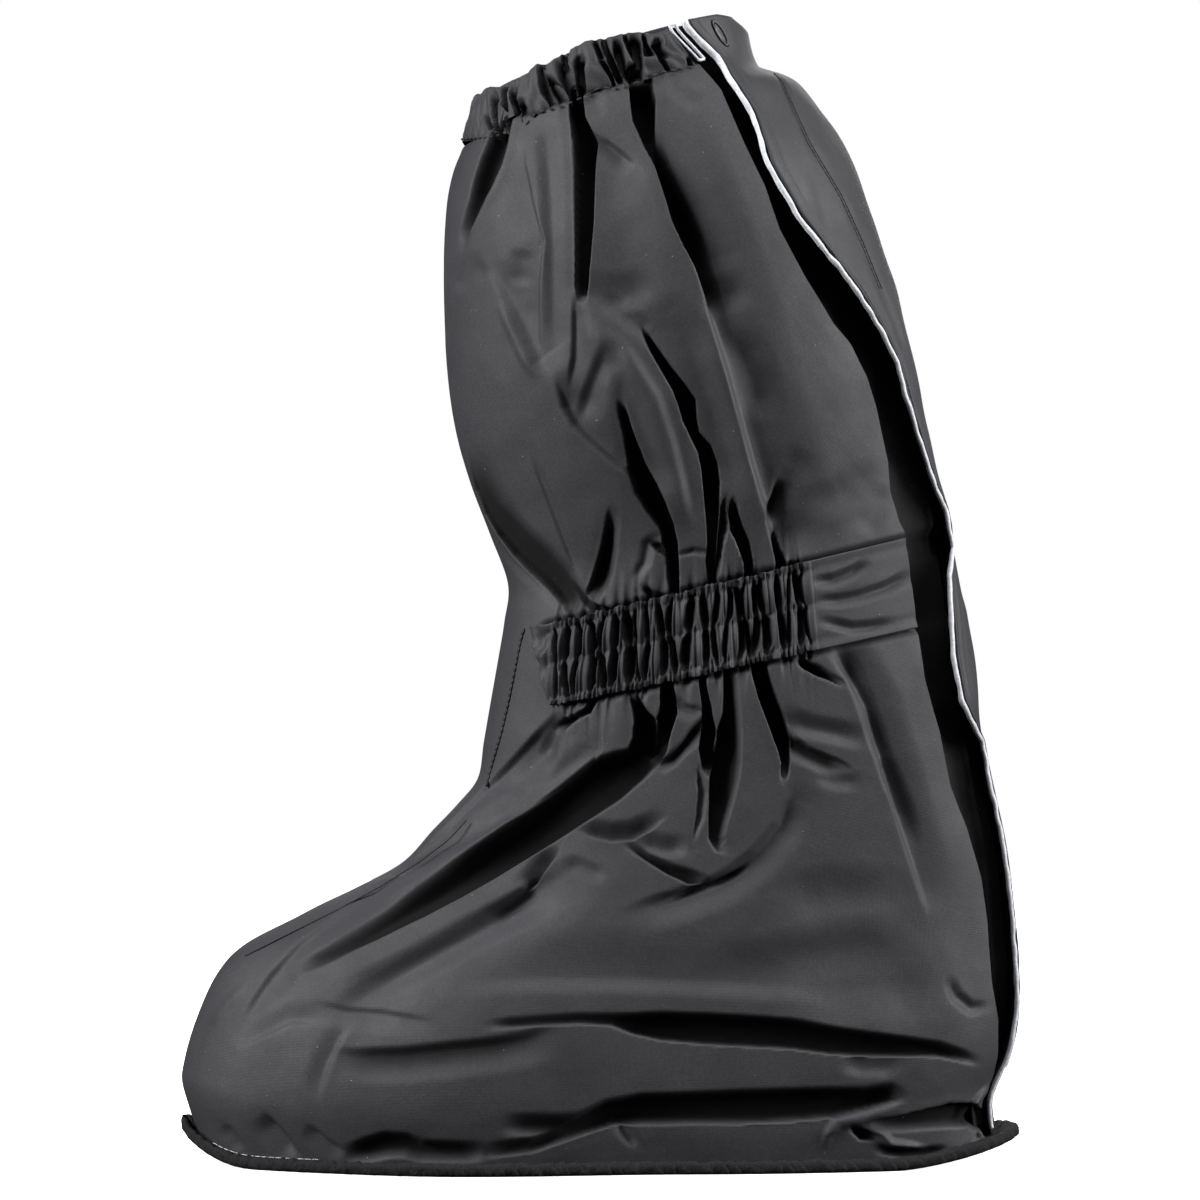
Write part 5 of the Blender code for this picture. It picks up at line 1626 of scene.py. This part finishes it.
# %% Sew the row under the cuff and the rows of the front seam
# Lines on the side view: where the panels are sewn together down the front, and the edge of that seam's
# allowance over the instep
FRONT_SEAM = ((-44, 141), (-41, 152), (-38, 162), (-35, 175), (-33, 185), (-30, 200), (-28, 206))
INSTEP_SEAM = ((-138, 76.5), (-120, 85.5), (-100, 95.5), (-85, 103.5), (-70, 113), (-58, 122), (-49, 132))
cuff_row = np.full(700, CUFF_LEVEL - 0.04)
turns = np.linspace(0.02, slit_turns(cuff_row[:1])[0][0] - 0.004, 700)
row_points, row_normals = row_on_form(cuff_row, turns, 0.0012)
chart = side_chart(row_points)
wanted = np.interp(chart[:, 0], *CUFF_BASE) + 0.9
row_points[:, 2] += (wanted - chart[:, 1]) / 1000 * smoothstep(0.0, 0.012, turns)
count += sew(stitches, row_points, row_normals, 0.0024, 0.0014, 0.00045)
for line, thick in ((FRONT_SEAM, 0.0007), (INSTEP_SEAM, 0.0004)):
    count += sew(stitches, *row_on_side(line, 160, (3.0, 15.0), (0.004, 0.2)), 0.0036, -0.0012, thick)
thread = new_object("thread_stitches", stitches)
finish_piece(thread, BLACK_THREAD, "coated_cloth")
print("stitches", count)

# %% Leave one light thread on the binding
PALE_THREAD_END = -0.104
pale_shape = bmesh.new()
rim, hem = rim_and_hem(np.linspace(0.06, 0.2, 400))
row_points = np.column_stack((rim + (hem - rim) * 0.25, sole_lift(rim[:, 0]) + SOLE_THICKNESS + 0.0027))
row_points = row_points[row_points[:, 0] < PALE_THREAD_END]
row_normals = np.tile((0.0, 0.0, 1.0), (len(row_points), 1))
sew(pale_shape, row_points, row_normals, 0.0034, -0.0004, 0.00018)
pale = new_object("pale_thread", pale_shape)
finish_piece(pale, REFLEX_CORD, "binding_textile")

# %% [markdown]
# ## Floor and light
# The photograph is a high-key studio picture: the ground is white and the black cloth shows only its
# sheen. Two large soft lights stand left and right, a third one hangs above, a fourth one behind keeps
# the far side readable, and the world fills the rest.

# %% Lay the floor
FLOOR_RADIUS = 1.6
floor_shape = bmesh.new()
bmesh.ops.create_circle(floor_shape, cap_ends=True, segments=96, radius=FLOOR_RADIUS)
floor = new_object("studio_floor", floor_shape)
floor_finish, _, floor_shader = new_finish("white floor")
floor_shader.inputs["Base Color"].default_value = (0.93, 0.93, 0.93, 1)
floor_shader.inputs["Roughness"].default_value = 0.9
floor_shader.inputs["Specular IOR Level"].default_value = 0.1
floor_shader.inputs["Emission Color"].default_value = (1, 1, 1, 1)
floor_shader.inputs["Emission Strength"].default_value = 0.95
floor.data.materials.append(floor_finish)
floor.visible_diffuse = False
floor.visible_glossy = False


# %% Hang the lights
def soft_light(name, place, target, size, power):
    data = bpy.data.lights.new(name, "AREA")
    data.shape = "RECTANGLE"
    data.size = size[0]
    data.size_y = size[1]
    data.energy = power
    light = bpy.data.objects.new(name, data)
    light.location = place
    light.rotation_euler = (Vector(target) - Vector(place)).to_track_quat("-Z", "Y").to_euler()
    bpy.context.collection.objects.link(light)
    return light


soft_light("left softbox", (-1.45, -0.85, 0.95), (0, 0, 0.2), (0.8, 1.1), 47)
soft_light("right softbox", (1.5, -0.35, 0.75), (0, 0, 0.22), (0.5, 1.1), 34)
soft_light("top softbox", (0.15, -0.55, 1.8), (0, 0, 0.2), (0.9, 0.7), 13)
soft_light("back softbox", (0.2, 1.6, 1.0), (0, 0, 0.2), (1.0, 1.0), 16)

# The white of the world is full in the picture, and faint as a light
WORLD_GLOW = 0.05
world = bpy.data.worlds.new("white studio")
world.use_nodes = True
bpy.context.scene.world = world
tree = world.node_tree
background = tree.nodes["Background"]
seen = add_node(tree, "ShaderNodeLightPath").outputs["Is Camera Ray"]
tree.links.new(as_range(tree, seen, 0.0, 1.0, WORLD_GLOW, 1.0), background.inputs["Strength"])
background.inputs["Color"].default_value = (1, 1, 1, 1)

bpy.context.scene.view_settings.view_transform = "Standard"
bpy.context.scene.view_settings.look = "None"
bpy.context.scene.view_settings.exposure = 0.0
bpy.context.scene.view_settings.gamma = 1.0
